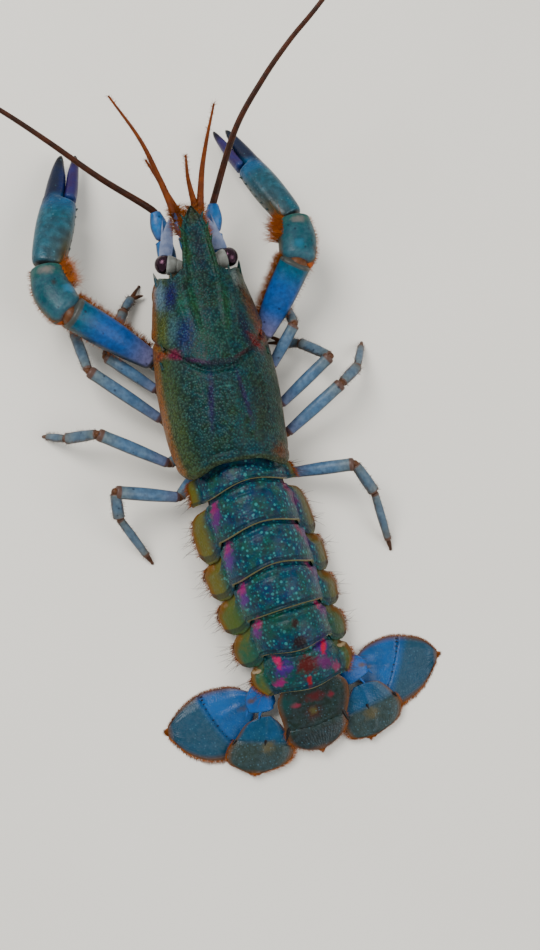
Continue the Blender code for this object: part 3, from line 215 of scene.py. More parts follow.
# Hand and fingers: share of the hand's length, offset outward, half width, half height
PALM = ((0.0, 0, 3.3, 2.6), (0.05, 0, 4.0, 3.0), (0.16, 0, 4.45, 3.3), (0.34, 0, 4.7, 3.4),
        (0.48, 0, 4.5, 3.1))
FIXED_FINGER = ((0.53, 0.0, 4.3, 2.85), (0.556, 0.12, 4.15, 2.7), (0.572, 0.9, 3.3, 2.5),
                (0.585, 1.6, 2.45, 2.35), (0.62, 1.66, 2.35, 2.2), (0.7, 1.65, 2.25, 1.95),
                (0.8, 1.73, 1.88, 1.6), (0.87, 1.88, 1.43, 1.35), (0.95, 1.9, 0.8, 0.9),
                (0.99, 1.7, 0.3, 0.35))
DACTYL = ((0.585, -2.5, 1.5, 2.2), (0.7, -2.47, 1.48, 1.8), (0.8, -2.22, 1.38, 1.6),
          (0.87, -2.1, 1.2, 1.3), (0.96, -1.98, 0.78, 0.9), (1.01, -1.7, 0.3, 0.35))
FIXED_START, DACTYL_START = 0.577, 0.6
TOOTH_HEIGHT, TOOTH_STEP = 0.25, 0.9

CAMERA_PLACE = (-34.4, -43.3, 314.3)
CAMERA_TARGET = (8.7, -3.2, 15.0)
CAMERA_UP = (0.174, 0.972, 0.155)
CAMERA_LENS = 45.47

# Stage, in metres: the floor lies a hair under z = 0; lamps as name, place, diameter and watts
FLOOR_Z = -0.00002
FLOOR_HALF_WIDTH = 2
LAMPS = (("key", (-0.35, 0.35, 0.75), 0.5, 7.0), ("fill", (0.5, -0.3, 0.6), 0.6, 3.0))
LIT_PLACE = (0, 0, 0.01)
SKY_COLOUR, SKY_STRENGTH = (0.9, 0.95, 1.0, 1), 0.7

# How much brighter, and how much paler by reflected light, a colour shows on the stage
LIGHT_GAIN = 1.5
LIGHT_HAZE = 0.011


# Curves and sections

def curve(table, keys):
    """Smooth values at keys through rows of (key, value, ...)."""
    rows = np.array(table, float)
    places, values = rows[:, 0], rows[:, 1:]
    last = len(places) - 1
    low = np.maximum(np.arange(last + 1) - 1, 0)
    high = np.minimum(np.arange(last + 1) + 1, last)
    slopes = (values[high] - values[low]) / (places[high] - places[low])[:, None]
    keys = np.clip(np.asarray(keys, float), places[0], places[-1])
    index = np.clip(np.searchsorted(places, keys, side="right") - 1, 0, last - 1)
    span = (places[index + 1] - places[index])[..., None]
    share = (keys - places[index])[..., None] / span
    rise = values[index + 1] - values[index]
    bend = slopes[index] * share * (1 - share) ** 2 - slopes[index + 1] * share * share * (1 - share)
    found = values[index] + rise * share * share * (3 - 2 * share) + span * bend
    return found[..., 0] if values.shape[1] == 1 else found


def smooth(value):
    value = np.clip(value, 0.0, 1.0)
    return value * value * (3 - 2 * value)


def bell(value):
    return np.exp(-np.square(value))


def spline(points, count):
    """count points at even steps of a smooth curve through points."""
    table = [(number, *point) for number, point in enumerate(points)]
    return curve(table, np.linspace(0, len(points) - 1, count))


def distances(points):
    """How far each point lies along the line of points."""
    return np.concatenate(([0], np.cumsum(np.linalg.norm(np.diff(points, axis=0), axis=1))))


def at_distances(points, steps):
    """Places at the given distances along a line of points."""
    reach = distances(points)
    return np.stack([np.interp(steps, reach, points[:, axis]) for axis in range(3)], -1)


def resample(points, count):
    """count points at even distances along a line of straight runs."""
    points = np.asarray(points, float)
    return at_distances(points, np.linspace(0, distances(points)[-1], count))


def refine(rows, count):
    """count smooth rows through a few rows of points, by their mean distance apart."""
    rows = np.asarray(rows, float)
    gaps = np.linalg.norm(np.diff(rows, axis=0), axis=2).mean(axis=1)
    reach = np.concatenate(([0], np.cumsum(gaps)))
    table = np.column_stack((reach, rows.reshape(len(rows), -1)))
    return curve(table, np.linspace(0, reach[-1], count)).reshape(count, rows.shape[1], 3)


def unit(vectors):
    vectors = np.asarray(vectors, float)
    return vectors / np.maximum(np.linalg.norm(vectors, axis=-1, keepdims=True), 1e-9)


def directions(centres):
    """Sideways and upward unit vectors along a path, turned no more than the path turns."""
    tangents = unit(np.gradient(np.asarray(centres, float), axis=0))
    upright = abs(tangents[0][2]) > 0.999
    side = np.cross(tangents[0], (0, 1, 0) if upright else (0, 0, 1))
    sides = []
    for tangent in tangents:
        side = side - tangent * np.dot(side, tangent)
        side = side / np.linalg.norm(side)
        sides.append(side)
    sides = np.array(sides)
    return sides, np.cross(sides, tangents)


def oval(turn, across, rise):
    """Places from -1 to 1 round a section, across and upward; powers below 1 square it."""
    cos, sin = np.cos(turn), np.sin(turn)
    return np.sign(cos) * np.abs(cos) ** across, np.sign(sin) * np.abs(sin) ** rise


def end_size(distance, reach, blunt):
    """Share of its full size that a rounded end has at a distance from its tip."""
    inside = np.clip(distance / reach, 0, 1)
    return np.sqrt(np.maximum(1 - (1 - inside) ** 2, blunt))


def rings(centres, widths, heights, count=24, power=2.0):
    """Rounded sections round a path; power above 2 squares them."""
    centres = np.asarray(centres, float)
    side, up = directions(centres)
    across, rise = oval(math.tau * np.arange(count) / count, 2 / power, 2 / power)
    widths = np.broadcast_to(widths, len(centres))[:, None, None]
    heights = np.broadcast_to(heights, len(centres))[:, None, None]
    across, rise = across[None, :, None], rise[None, :, None]
    return centres[:, None] + side[:, None] * widths * across + up[:, None] * heights * rise


def mirrored(points, side):
    return np.asarray(points, float) * np.array((side, 1, 1))


def map_line(count, u, v):
    """Places along a line of the map; u and v are each one value or a pair of ends."""
    return np.stack([np.linspace(*np.broadcast_to(ends, 2), count) for ends in (u, v)], -1)


def abdomen_point(sideways, along, z):
    """Place of points given across and along the abdomen."""
    cos, sin = math.cos(ABDOMEN_TURN), math.sin(ABDOMEN_TURN)
    sideways, along, z = np.broadcast_arrays(sideways, along, z)
    return np.stack((ABDOMEN_START[0] + sideways * cos + along * sin,
                     ABDOMEN_START[1] + sideways * sin - along * cos, z), -1)


def abdomen_way(sideways, along, rise):
    """Direction given across and along the abdomen."""
    return abdomen_point(sideways, along, rise) - abdomen_point(0, 0, 0)


def body_point(sideways, along, z):
    """Place given from the abdomen's own middle line, which sways a little."""
    return abdomen_point(sideways + curve(ABDOMEN_SWAY, along), along, z)


# Meshes

class Piece:
    """Mesh of one piece, gathered in millimetres from sheets, tubes and spikes."""

    def __init__(self):
        self.points, self.faces, self.places, self.kinds = [], [], [], []
        self.total = 0

    def add(self, points, faces, places, kind=0):
        """Adds faces, rows of indices into points, with a map place for each corner."""
        points = np.asarray(points, float).reshape(-1, 3)
        self.points.append(points)
        self.faces.append(np.asarray(faces, int) + self.total)
        self.places.append(np.asarray(places, float))
        self.kinds.append(np.broadcast_to(kind, len(faces)))
        self.total += len(points)

    def sheet(self, grid, u=None, v=None, kind=0, wrap=False):
        """Skin through rows of points; wrap joins each row's end to its start."""
        rows, columns = grid.shape[:2]
        u = np.linspace(0, 1, columns + wrap) if u is None else np.asarray(u)
        v = np.linspace(0, 1, rows) if v is None else np.asarray(v)
        v = v[:, None] if v.ndim == 1 else v
        shape = (rows, columns + wrap)
        place = np.stack((np.broadcast_to(u, shape), np.broadcast_to(v, shape)), -1)
        row, column = np.meshgrid(np.arange(rows - 1), np.arange(columns - 1 + wrap), indexing="ij")
        row, column = row.ravel(), column.ravel()
        after = (column + 1) % columns
        faces = np.stack((row * columns + column, row * columns + after,
                          (row + 1) * columns + after, (row + 1) * columns + column), -1)
        places = np.stack((place[row, column], place[row, column + 1],
                           place[row + 1, column + 1], place[row + 1, column]), 1)
        self.add(grid, faces, places, kind)

    def cap(self, ring, place=(0.5, 0.5), kind=0):
        """Fan from a ring to its middle."""
        count = len(ring)
        points = np.vstack((ring, np.mean(ring, axis=0)))
        number = np.arange(count)
        faces = np.stack((number, (number + 1) % count, np.full(count, count)), -1)
        self.add(points, faces, np.broadcast_to(place, (count, 3, 2)), kind)

    def solid(self, grid, u=None, v=None, kind=0):
        """Closed body through rings; returns them."""
        v = np.linspace(0, 1, len(grid)) if v is None else v
        self.sheet(grid, u=u, v=v, kind=kind, wrap=True)
        self.cap(grid[0], (0.5, v[0]), kind)
        self.cap(grid[-1], (0.5, v[-1]), kind)
        return grid

    def tube(self, centres, widths, heights=None, count=24, power=2.0, kind=0, v=None, u=None):
        """Closed round body along a path; returns its rings."""
        heights = widths if heights is None else heights
        return self.solid(rings(centres, widths, heights, count, power), u, v, kind)

    def knob(self, middle, reach, width, height=None, rows=13, blunt=0.02, count=20, kind=1):
        """Rounded body; reach leads from its middle to its end, and blunt widens its ends."""
        share = np.linspace(-1, 1, rows)
        round_off = np.sqrt(np.maximum(1 - share ** 2, blunt))
        centres = np.asarray(middle, float) + np.asarray(reach, float) * share[:, None]
        self.tube(centres, width * round_off, (height or width) * round_off, count=count, kind=kind)

    def spike(self, base, tip, radius, kind=0, count=10, lift=0.0):
        """Curved pointed spine from a place inside the piece."""
        base, tip = np.asarray(base, float), np.asarray(tip, float)
        share = np.linspace(0, 1, 7)
        centres = base + (tip - base) * share[:, None]
        centres[:, 2] += lift * np.sin(math.pi * share)
        radii = radius * (1 - share) ** 0.75 + 0.03
        self.tube(centres, radii, count=count, kind=kind, u=np.full(count + 1, 0.5))

    def make(self, name, materials, slot, *nodes, map_name="form"):
        """Object of this mesh, riding on the body; it stands for the named nodes."""
        points = np.concatenate(self.points) * MM + OFFSET
        points[:, 2] = np.maximum(points[:, 2], 0.0)
        sizes = np.concatenate([np.full(len(faces), faces.shape[1]) for faces in self.faces])
        corners = np.concatenate([faces.ravel() for faces in self.faces])
        mesh = bpy.data.meshes.new(name)
        mesh.vertices.add(len(points))
        mesh.vertices.foreach_set("co", points.ravel())
        mesh.loops.add(len(corners))
        mesh.loops.foreach_set("vertex_index", corners)
        mesh.polygons.add(len(sizes))
        mesh.polygons.foreach_set("loop_start", np.cumsum(sizes) - sizes)
        mesh.polygons.foreach_set("material_index", np.concatenate(self.kinds))
        layer = mesh.uv_layers.new(name=map_name)
        layer.data.foreach_set("uv", np.concatenate([place.ravel() for place in self.places]))
        mesh.update(calc_edges=True)
        mesh.validate()
        bm = bmesh.new()
        bm.from_mesh(mesh)
        bmesh.ops.remove_doubles(bm, verts=bm.verts[:], dist=WELD_DISTANCE)
        bmesh.ops.recalc_face_normals(bm, faces=bm.faces[:])
        bm.to_mesh(mesh)
        bm.free()
        mesh.shade_smooth()
        mesh.set_sharp_from_angle(angle=SHARP_ANGLE)
        for material in materials:
            mesh.materials.append(material)
        item = bpy.data.objects.new(name, mesh)
        bpy.context.scene.collection.objects.link(item)
        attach(item, "root")
        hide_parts(*nodes)


def segment(piece, start, end, radii, kind=0, joint=1, rows=36, count=24, power=2.2, flat=0.92, bow=0.0,
            shift=None, rim=0.07, close=0.55, knob_size=0.8):
    """One length of a limb with rounded ends and a rim at its far end; joint is its skin's material."""
    start, end = np.asarray(start, float), np.asarray(end, float)
    length = np.linalg.norm(end - start)
    share = (1 - np.cos(np.linspace(0, math.pi, rows))) / 2
    centres = start + (end - start) * share[:, None]
    centres[:, 2] += bow * np.sin(math.pi * share)
    if shift is not None:
        centres += np.asarray(shift) * np.sin(math.pi * share)[:, None]
    table = [(number / (len(radii) - 1), radius) for number, radius in enumerate(radii)]
    radius = curve(table, share) * (1 + rim * bell((share - 0.94) / 0.035))
    radius = radius * end_size(share * length, radii[0] * close, 0.02)
    radius = radius * end_size((1 - share) * length, radii[-1] * 0.3, 0.02)
    grid = piece.tube(centres, radius, radius * flat, count, power, kind, v=share)
    if joint is not None:
        skin = (end - start) / length * (min(radii[0], 0.22 * length) * 0.9)
        piece.knob(start, skin, radii[0] * knob_size, rows=9, blunt=0.03, kind=joint)
    return grid


# Hairs: how deep they are rooted, how near the floor they come, and a step of their patch on the map
HAIR_SINK = 0.15
HAIR_LOWEST = 0.06
HAIR_PATCH_STEP = 0.001


class Fringe:
    """Tapered hairs set in the shell; each is a small patch of the map at its root's place."""

    def __init__(self, seed):
        self.random = np.random.default_rng(seed)
        self.rows = []

    def add(self, roots, ways, places, count, length, radius, spread, droop, curl=0.12):
        """count hairs at random along a line of roots, turned by spread; droop bends them down."""
        roots, places = np.asarray(roots, float), np.asarray(places, float)
        ways = np.broadcast_to(unit(ways), roots.shape)
        along = self.random.random(count) * (len(roots) - 1)
        index = np.minimum(along.astype(int), len(roots) - 2)
        share = (along - index)[:, None]
        root = roots[index] * (1 - share) + roots[index + 1] * share
        way = ways[index] * (1 - share) + ways[index + 1] * share
        way = unit(unit(way) + self.random.normal(0, spread, (count, 3)))
        place = places[index] * (1 - share) + places[index + 1] * share
        reach = length * self.random.uniform(0.55, 1.1, count)
        bend = self.random.normal(0, curl, (count, 3)) - np.array((0, 0, droop))
        root, reach = root - way * HAIR_SINK, reach + HAIR_SINK
        self.rows.append((root, way, bend, reach, np.full(count, radius), place))

    def make(self, name, material, *nodes):
        root, way, bend, reach, radius, place = (np.concatenate(part) for part in zip(*self.rows))
        side = unit(np.cross(way, (0.3, 0.2, 0.9)))
        up = np.cross(way, side)
        share = np.array((0.0, 0.4, 0.75))
        far = reach[:, None, None]
        steps = share[:, None]
        centre = root[:, None] + way[:, None] * far * steps + bend[:, None] * far * steps ** 2
        turn = math.tau * np.arange(3) / 3
        spoke = side[:, None] * np.cos(turn)[:, None] + up[:, None] * np.sin(turn)[:, None]
        width = radius[:, None] * (1 - 0.75 * share)
        points = centre[:, :, None] + spoke[:, None] * width[..., None, None]
        tips = root + (way + bend) * reach[:, None]
        points = np.concatenate((points.reshape(len(root), 9, 3), tips[:, None]), axis=1)
        points[..., 2] = np.maximum(points[..., 2], HAIR_LOWEST)
        quads = [(ring + side, ring + (side + 1) % 3, ring + 3 + (side + 1) % 3, ring + 3 + side)
                 for ring in (0, 3) for side in range(3)]
        ends = [(6, 7, 9), (7, 8, 9), (8, 6, 9), (2, 1, 0)]
        patch = np.array([(number % 3, number // 3) for number in range(10)]) * HAIR_PATCH_STEP
        piece = Piece()
        start = 10 * np.arange(len(root))[:, None, None]
        for faces, given in ((quads, points), (ends, np.zeros((0, 3)))):
            faces = np.array(faces)
            spots = place[:, None, None] + patch[faces]
            rows = (start + faces).reshape(-1, faces.shape[1])
            piece.add(given, rows - piece.total, spots.reshape(-1, faces.shape[1], 2))
        piece.make(name, [material], "feeler_brown", *nodes, map_name="OFBake")


# Materials

def tone(red, green, blue, gain=LIGHT_GAIN, haze=LIGHT_HAZE):
    """Linear colour that shows as an sRGB one, from 0 to 255, under the stage's lights."""
    parts = []
    for value in (red, green, blue):
        value = value / 255
        value = value / 12.92 if value <= 0.04045 else ((value + 0.055) / 1.055) ** 2.4
        parts.append(max(value - haze, 0.0) / gain + 0.0008)
    return (*parts, 1.0)


def paint(colour):
    """Linear colour of a shown one; a colour with four parts is linear already."""
    return colour if len(colour) == 4 else tone(*colour)


class Tree:
    """Short calls for adding nodes to one tree."""

    def __init__(self, tree):
        self.tree = tree

    def put(self, socket, value):
        if isinstance(value, bpy.types.NodeSocket):
            self.tree.links.new(value, socket)
        elif isinstance(value, (int, float)) and socket.type == "VECTOR":
            socket.default_value = (value, value, value)
        else:
            socket.default_value = value

    def add(self, kind, values=None, **settings):
        node = self.tree.nodes.new(kind)
        for name, value in settings.items():
            setattr(node, name, value)
        for key, value in (values or {}).items():
            self.put(node.inputs[key], value)
        return node

    def maths(self, operation, *values, clamp=False):
        node = self.add("ShaderNodeMath", dict(enumerate(values)), operation=operation, use_clamp=clamp)
        return node.outputs[0]

    def vector(self, operation, *values):
        return self.add("ShaderNodeVectorMath", dict(enumerate(values)), operation=operation)

    def mix(self, mask, below, above, blend="MIX"):
        node = self.add("ShaderNodeMix", {0: mask, 6: below, 7: above}, data_type="RGBA", blend_type=blend)
        return node.outputs[2]

    def effect(self, group, **values):
        node = self.add("ShaderNodeGroup", node_tree=group)
        for name, value in values.items():
            self.put(node.inputs[name.replace("_", " ")], value)
        return node.outputs

    def span(self, value, low, high, to_low=0.0, to_high=1.0):
        """Smooth step of a value from one pair of bounds to another."""
        node = self.add("ShaderNodeMapRange", {0: value, 1: low, 2: high, 3: to_low, 4: to_high},
                        interpolation_type="SMOOTHSTEP")
        return node.outputs[0]


def effect_group(name, inputs, outputs):
    """New node group with its inputs and outputs: tree, inputs, outputs."""
    tree = bpy.data.node_groups.new(name, "ShaderNodeTree")
    for title, value in inputs:
        vector = isinstance(value, tuple)
        kind = "NodeSocketVector" if vector else "NodeSocketFloat"
        socket = tree.interface.new_socket(title, in_out="INPUT", socket_type=kind)
        socket.default_value = value
    for title in outputs:
        tree.interface.new_socket(title, in_out="OUTPUT", socket_type="NodeSocketFloat")
    nodes = Tree(tree)
    return nodes, nodes.add("NodeGroupInput").outputs, nodes.add("NodeGroupOutput").inputs


def place_of_surface(nodes):
    return nodes.add("ShaderNodeTexCoord").outputs["Object"]


def make_shell_grain():
    """Fine granules: their height, and a mask of the hollows between them for painted shade."""
    nodes, given, out = effect_group(
        "shell_grain", (("Spacing", 0.0006), ("Ragged", 0.4)), ("Height", "Painted hollow shade"))
    scale = nodes.maths("DIVIDE", 1.0, given["Spacing"])
    place = place_of_surface(nodes)
    drift = nodes.add("ShaderNodeTexNoise", {"Vector": place, "Scale": scale, "Detail": 2.0})
    reach = nodes.maths("MULTIPLY", given["Spacing"], given["Ragged"])
    moved = nodes.vector("MULTIPLY_ADD", drift.outputs["Color"], reach, place)
    cells = nodes.add("ShaderNodeTexVoronoi", {"Vector": moved.outputs[0], "Scale": scale})
    distance = cells.outputs["Distance"]
    nodes.put(out["Height"], nodes.span(distance, 0.0, 0.75, 1.0, 0.0))
    # Mask of the hollows between granules, where painted shade is laid
    nodes.put(out["Painted hollow shade"], nodes.span(distance, 0.35, 0.8))
    return nodes.tree


def make_light_spots():
    """Scattered round spots, some of the cells left empty."""
    nodes, given, out = effect_group(
        "light_spots", (("Spacing", 0.001), ("Size", 0.3), ("Amount", 0.8), ("Softness", 0.15)), ("Mask",))
    scale = nodes.maths("DIVIDE", 1.0, given["Spacing"])
    cells = nodes.add("ShaderNodeTexVoronoi", {
        "Vector": place_of_surface(nodes), "Scale": scale, "Randomness": 0.85})
    parts = nodes.add("ShaderNodeSeparateColor", {0: cells.outputs["Color"]})
    size = nodes.maths("MULTIPLY", given["Size"], nodes.maths("MULTIPLY_ADD", parts.outputs[0], 0.9, 0.5))
    spot = nodes.span(cells.outputs["Distance"], nodes.maths("ADD", size, given["Softness"]), size)
    kept = nodes.maths("LESS_THAN", parts.outputs[1], given["Amount"])
    nodes.put(out["Mask"], nodes.maths("MULTIPLY", spot, kept))
    return nodes.tree


def make_patch():
    """Blotch with a ragged edge round a place."""
    nodes, given, out = effect_group(
        "patch", (("Middle", (0.0, 0.0, 0.0)), ("Reach", (0.01, 0.01, 0.01)), ("Turn", 0.0), ("Ragged", 0.3),
                  ("Softness", 0.5)), ("Mask",))
    place = place_of_surface(nodes)
    offset = nodes.vector("SUBTRACT", place, given["Middle"])
    turned = nodes.add("ShaderNodeVectorRotate", {"Vector": offset.outputs[0], "Angle": given["Turn"]},
                       rotation_type="Z_AXIS")
    scaled = nodes.vector("DIVIDE", turned.outputs[0], given["Reach"])
    distance = nodes.vector("LENGTH", scaled.outputs[0]).outputs["Value"]
    noise = nodes.add("ShaderNodeTexNoise", {"Vector": place, "Scale": 900.0, "Detail": 3.0}).outputs[0]
    twice = nodes.maths("MULTIPLY", given["Ragged"], 2.0)
    drift = nodes.maths("MULTIPLY", nodes.maths("SUBTRACT", noise, 0.5), twice)
    ragged = nodes.maths("ADD", distance, drift)
    nodes.put(out["Mask"], nodes.span(ragged, 1.0, nodes.maths("SUBTRACT", 1.0, given["Softness"])))
    return nodes.tree


def make_mottle():
    """Cloudy unevenness from 0 to 1."""
    nodes, given, out = effect_group(
        "mottle", (("Spacing", 0.004), ("Contrast", 0.5), ("Seed", 0.0)), ("Value",))
    shift = nodes.add("ShaderNodeCombineXYZ", {0: given["Seed"]}).outputs[0]
    place = nodes.vector("ADD", place_of_surface(nodes), shift).outputs[0]
    scale = nodes.maths("DIVIDE", 1.0, given["Spacing"])
    noise = nodes.add("ShaderNodeTexNoise", {"Vector": place, "Scale": scale, "Detail": 4.0}).outputs[0]
    narrower = nodes.maths("MULTIPLY", nodes.maths("MULTIPLY", given["Contrast"], 0.5), 0.3)
    low, high = nodes.maths("ADD", 0.25, narrower), nodes.maths("SUBTRACT", 0.75, narrower)
    nodes.put(out["Value"], nodes.span(noise, low, high))
    return nodes.tree


def make_band():
    """Band between two values, with soft edges."""
    nodes, given, out = effect_group(
        "band", (("Value", 0.0), ("Start", 0.4), ("End", 0.6), ("Softness", 0.02)), ("Mask",))
    before = nodes.maths("SUBTRACT", given["Start"], given["Softness"])
    after = nodes.maths("ADD", given["End"], given["Softness"])
    rise = nodes.span(given["Value"], before, given["Start"])
    fall = nodes.span(given["Value"], after, given["End"])
    nodes.put(out["Mask"], nodes.maths("MULTIPLY", rise, fall))
    return nodes.tree


GRAIN, SPOTS, PATCH, MOTTLE, BAND = (make_shell_grain(), make_light_spots(), make_patch(), make_mottle(),
                                     make_band())


class Finish:
    """One material: colours laid over each other, then the surface they sit on."""

    def __init__(self, name, colour):
        self.material = bpy.data.materials.new(name)
        self.material.use_nodes = True
        self.nodes = Tree(self.material.node_tree)
        self.shader = self.material.node_tree.nodes["Principled BSDF"]
        self.colour = paint(colour)
        self.height = None

    def lay(self, mask, colour, amount=1.0, blend="MIX"):
        if amount != 1.0:
            mask = self.nodes.maths("MULTIPLY", mask, amount)
        self.colour = self.nodes.mix(mask, self.colour, paint(colour), blend)

    def mottle(self, spacing, contrast, colour, amount=1.0, seed=0.0):
        value = self.nodes.effect(MOTTLE, Spacing=spacing * MM, Contrast=contrast, Seed=seed)["Value"]
        self.lay(value, colour, amount)

    def spots(self, spacing, size, share, colour, amount=1.0, softness=0.12):
        found = self.nodes.effect(SPOTS, Spacing=spacing * MM, Size=size, Amount=share, Softness=softness)
        self.lay(found["Mask"], colour, amount)

    def patch(self, middle, reach, colour, amount=1.0, turn=0.0, ragged=0.4, softness=0.85):
        """Blotch at a place in millimetres, reaching so far along each axis after a turn in degrees."""
        middle = tuple(np.asarray(middle, float) * MM + OFFSET)
        reach = np.array(reach) * MM * (0.7 + 0.6 * softness)
        mask = self.nodes.effect(PATCH, Middle=middle, Reach=tuple(reach),
                                 Turn=math.radians(-turn), Ragged=ragged, Softness=softness)["Mask"]
        self.lay(mask, colour, amount)

    def patches(self, rows, place=lambda *middle: middle):
        """Blotches from rows of middle, reach, turn, colour, amount and perhaps raggedness."""
        for middle, reach, turn, colour, amount, *ragged in rows:
            self.patch(place(*middle), reach, colour, amount, turn, *ragged)

    def map_axis(self, number):
        node = self.nodes.add("ShaderNodeUVMap", uv_map="form")
        return self.nodes.add("ShaderNodeSeparateXYZ", {0: node.outputs[0]}).outputs[number]

    def band(self, value, start, end, colour, amount=1.0, softness=0.03):
        mask = self.nodes.effect(BAND, Value=value, Start=start, End=end, Softness=softness)["Mask"]
        self.lay(mask, colour, amount)

    def grain(self, spacing, colour=None, amount=0.5, ragged=0.4, weight=1.0):
        found = self.nodes.effect(GRAIN, Spacing=spacing * MM, Ragged=ragged)
        # A given colour is multiplied into the hollows between granules as painted shade
        if colour:
            self.lay(found["Painted hollow shade"], colour, amount, "MULTIPLY")
        self.raise_by(found["Height"], weight)

    def raise_by(self, height, weight=1.0):
        height = self.nodes.maths("MULTIPLY", height, weight)
        self.height = height if self.height is None else self.nodes.maths("ADD", self.height, height)

    def done(self, roughness=0.4, spread=0.1, bump=0.05, coat=0.0, specular=0.22, **constants):
        """Roughness varies by spread; bump is the relief's depth in millimetres."""
        nodes, sockets = self.nodes, self.shader.inputs
        nodes.put(sockets["Base Color"], self.colour)
        cloud = nodes.effect(MOTTLE, Spacing=1.5 * MM, Contrast=0.4, Seed=3.0)["Value"]
        nodes.put(sockets["Roughness"], nodes.maths("MULTIPLY_ADD", cloud, spread, roughness - spread / 2))
        if self.height is not None:
            depth = {"Strength": 1.0, "Distance": bump * MM, "Height": self.height}
            nodes.put(sockets["Normal"], nodes.add("ShaderNodeBump", depth).outputs[0])
        sockets["Coat Weight"].default_value = coat
        sockets["Specular IOR Level"].default_value = specular
        sockets["Coat Roughness"].default_value = 0.25
        for name, value in constants.items():
            sockets[name.replace("_", " ")].default_value = value
        return self.material


# Blotches: middle, reach along each axis, turn in degrees, colour, amount and, where given, raggedness
CARAPACE_SHADES = (
    ((0.9, 65.5, 25), (2.6, 4.0, 4), 0, (66, 52, 22), 0.7),
    ((-2.6, 56.0, 25), (1.3, 10.0, 4), 0, (22, 74, 40), 0.8),
    ((4.0, 56.0, 25), (1.3, 10.0, 4), 0, (22, 74, 40), 0.8),
    ((0.7, 54.0, 25), (1.5, 9.0, 4), 0, (10, 36, 62), 0.8),
    ((-3.4, 39.0, 27), (1.5, 9.5, 4), 4, (20, 86, 46), 0.65),
    ((4.4, 39.5, 27), (1.5, 9.5, 4), -5, (20, 86, 46), 0.65),
    ((0.4, 44.0, 27), (2.2, 9.0, 4), 0, (12, 44, 46), 0.6),
    ((0.6, 32.0, 28), (4.4, 6.0, 4), 0, (12, 82, 68), 0.5),
    ((-6.2, 41.0, 26), (1.7, 6.0, 4), 4, (40, 112, 84), 0.5),
    ((9.0, 12.0, 26), (4.0, 12.0, 7), 0, (40, 44, 38), 0.65),
)
CARAPACE_CHEEK = ((-11.6, 37.0, 20), (2.2, 6.0, 7), 0, (112, 112, 44), 0.55)
CARAPACE_MARKS = (
    ((-10.6, 45.6, 19.0), (2.0, 5.8, 6), 0, (104, 142, 168), 0.8),
    ((-8.4, 44.6, 23.4), (2.3, 4.6, 5), -12, (4, 26, 92), 0.95),
    ((-9.6, 35.6, 24.0), (1.8, 5.2, 5), -8, (72, 112, 122), 0.6),
    ((-6.9, 33.4, 26.4), (2.9, 6.0, 5), -14, (4, 40, 96), 0.85),
    ((-10.2, 51.9, 19.1), (1.8, 0.8, 3), 0, (190, 184, 170), 0.8),
    ((8.8, 47.0, 22.8), (1.6, 3.6, 4), 10, (126, 138, 132), 0.75),
    ((9.8, 43.4, 22.8), (0.6, 3.0, 4), 20, (10, 18, 18), 0.9),
    ((8.3, 32.3, 25.8), (1.8, 6.4, 5), 6, (18, 20, 56), 0.9),
    ((-4.6, 45.8, 26), (1.6, 1.4, 3), 0, (30, 26, 24), 0.6),
    ((-3.8, 15.5, 28), (1.0, 9.5, 5), -8, (48, 34, 84), 0.8),
    ((4.6, 15.5, 28), (0.9, 9.0, 5), 8, (48, 34, 76), 0.8),
    ((11.6, 38.0, 20.0), (2.6, 9.5, 8), 12, (120, 70, 14), 0.85),
    ((0.6, 24.7, 28.4), (7.5, 1.2, 4), 0, (34, 36, 50), 0.75),
    ((-5.6, 26.2, 28.0), (4.6, 0.7, 4), -24, (70, 18, 70), 0.9),
    ((6.6, 26.6, 27.6), (4.0, 0.7, 4), 26, (66, 20, 36), 0.85),
    ((-10.4, 29.4, 24.0), (2.6, 1.7, 5), -25, (128, 4, 66), 0.95, 0.5),
    ((-13.2, 30.6, 20.0), (2.2, 1.7, 6), 0, (150, 62, 18), 0.9),
    ((10.4, 29.4, 24.0), (1.7, 3.8, 6), 35, (116, 4, 16), 0.98, 0.5),
    ((12.4, 32.2, 20.0), (2.0, 4.0, 6), 20, (132, 46, 8), 0.85),
    ((0.4, 18.6, 28.2), (2.6, 0.4, 2), 0, (72, 128, 116), 0.55),
    ((11.6, 1.6, 19), (3.6, 3.6, 6), 0, (104, 56, 22), 0.9),
)
# Colour of the painted shade multiplied into the hollows between the shell's granules
PAINTED_HOLLOW_SHADE = (0.16, 0.24, 0.3, 1.0)


def make_carapace_finish():
    """Teal shell, greener at the back's sides, orange along both lower edges, with its blotches."""
    finish = Finish("carapace_teal", (18, 62, 66))
    u, v = finish.map_axis(0), finish.map_axis(1)
    finish.mottle(6.0, 0.6, (22, 62, 40), 0.7)
    finish.mottle(2.2, 0.7, (8, 78, 92), 0.5, seed=5)
    finish.patches(CARAPACE_SHADES)
    finish.band(u, -1, 0.27, (78, 92, 38), 0.7, 0.1)
    finish.band(u, 0.76, 2, (48, 56, 28), 0.75, 0.09)
    finish.patches((CARAPACE_CHEEK,))
    finish.band(u, 0.1, 0.2, (166, 92, 8), 0.9, 0.055)
    finish.band(u, 0.83, 0.92, (124, 66, 12), 0.85, 0.055)
    finish.mottle(3.0, 0.6, (70, 84, 40), 0.25, seed=21)
    finish.patches(CARAPACE_MARKS)
    finish.band(v, -1, 0.012, (72, 76, 40), 0.6, 0.012)
    # Painted shade: a dark colour multiplied into the hollows between granules
    finish.grain(0.62, PAINTED_HOLLOW_SHADE, 0.75, weight=1.0)
    finish.spots(0.62, 0.14, 0.75, (52, 130, 122), 0.26, softness=0.26)
    finish.spots(0.9, 0.12, 0.5, (104, 146, 122), 0.22, softness=0.2)
    finish.grain(1.8, None, weight=0.6)
    return finish.done(0.42, 0.14, 0.12, coat=0.02, specular=0.15)


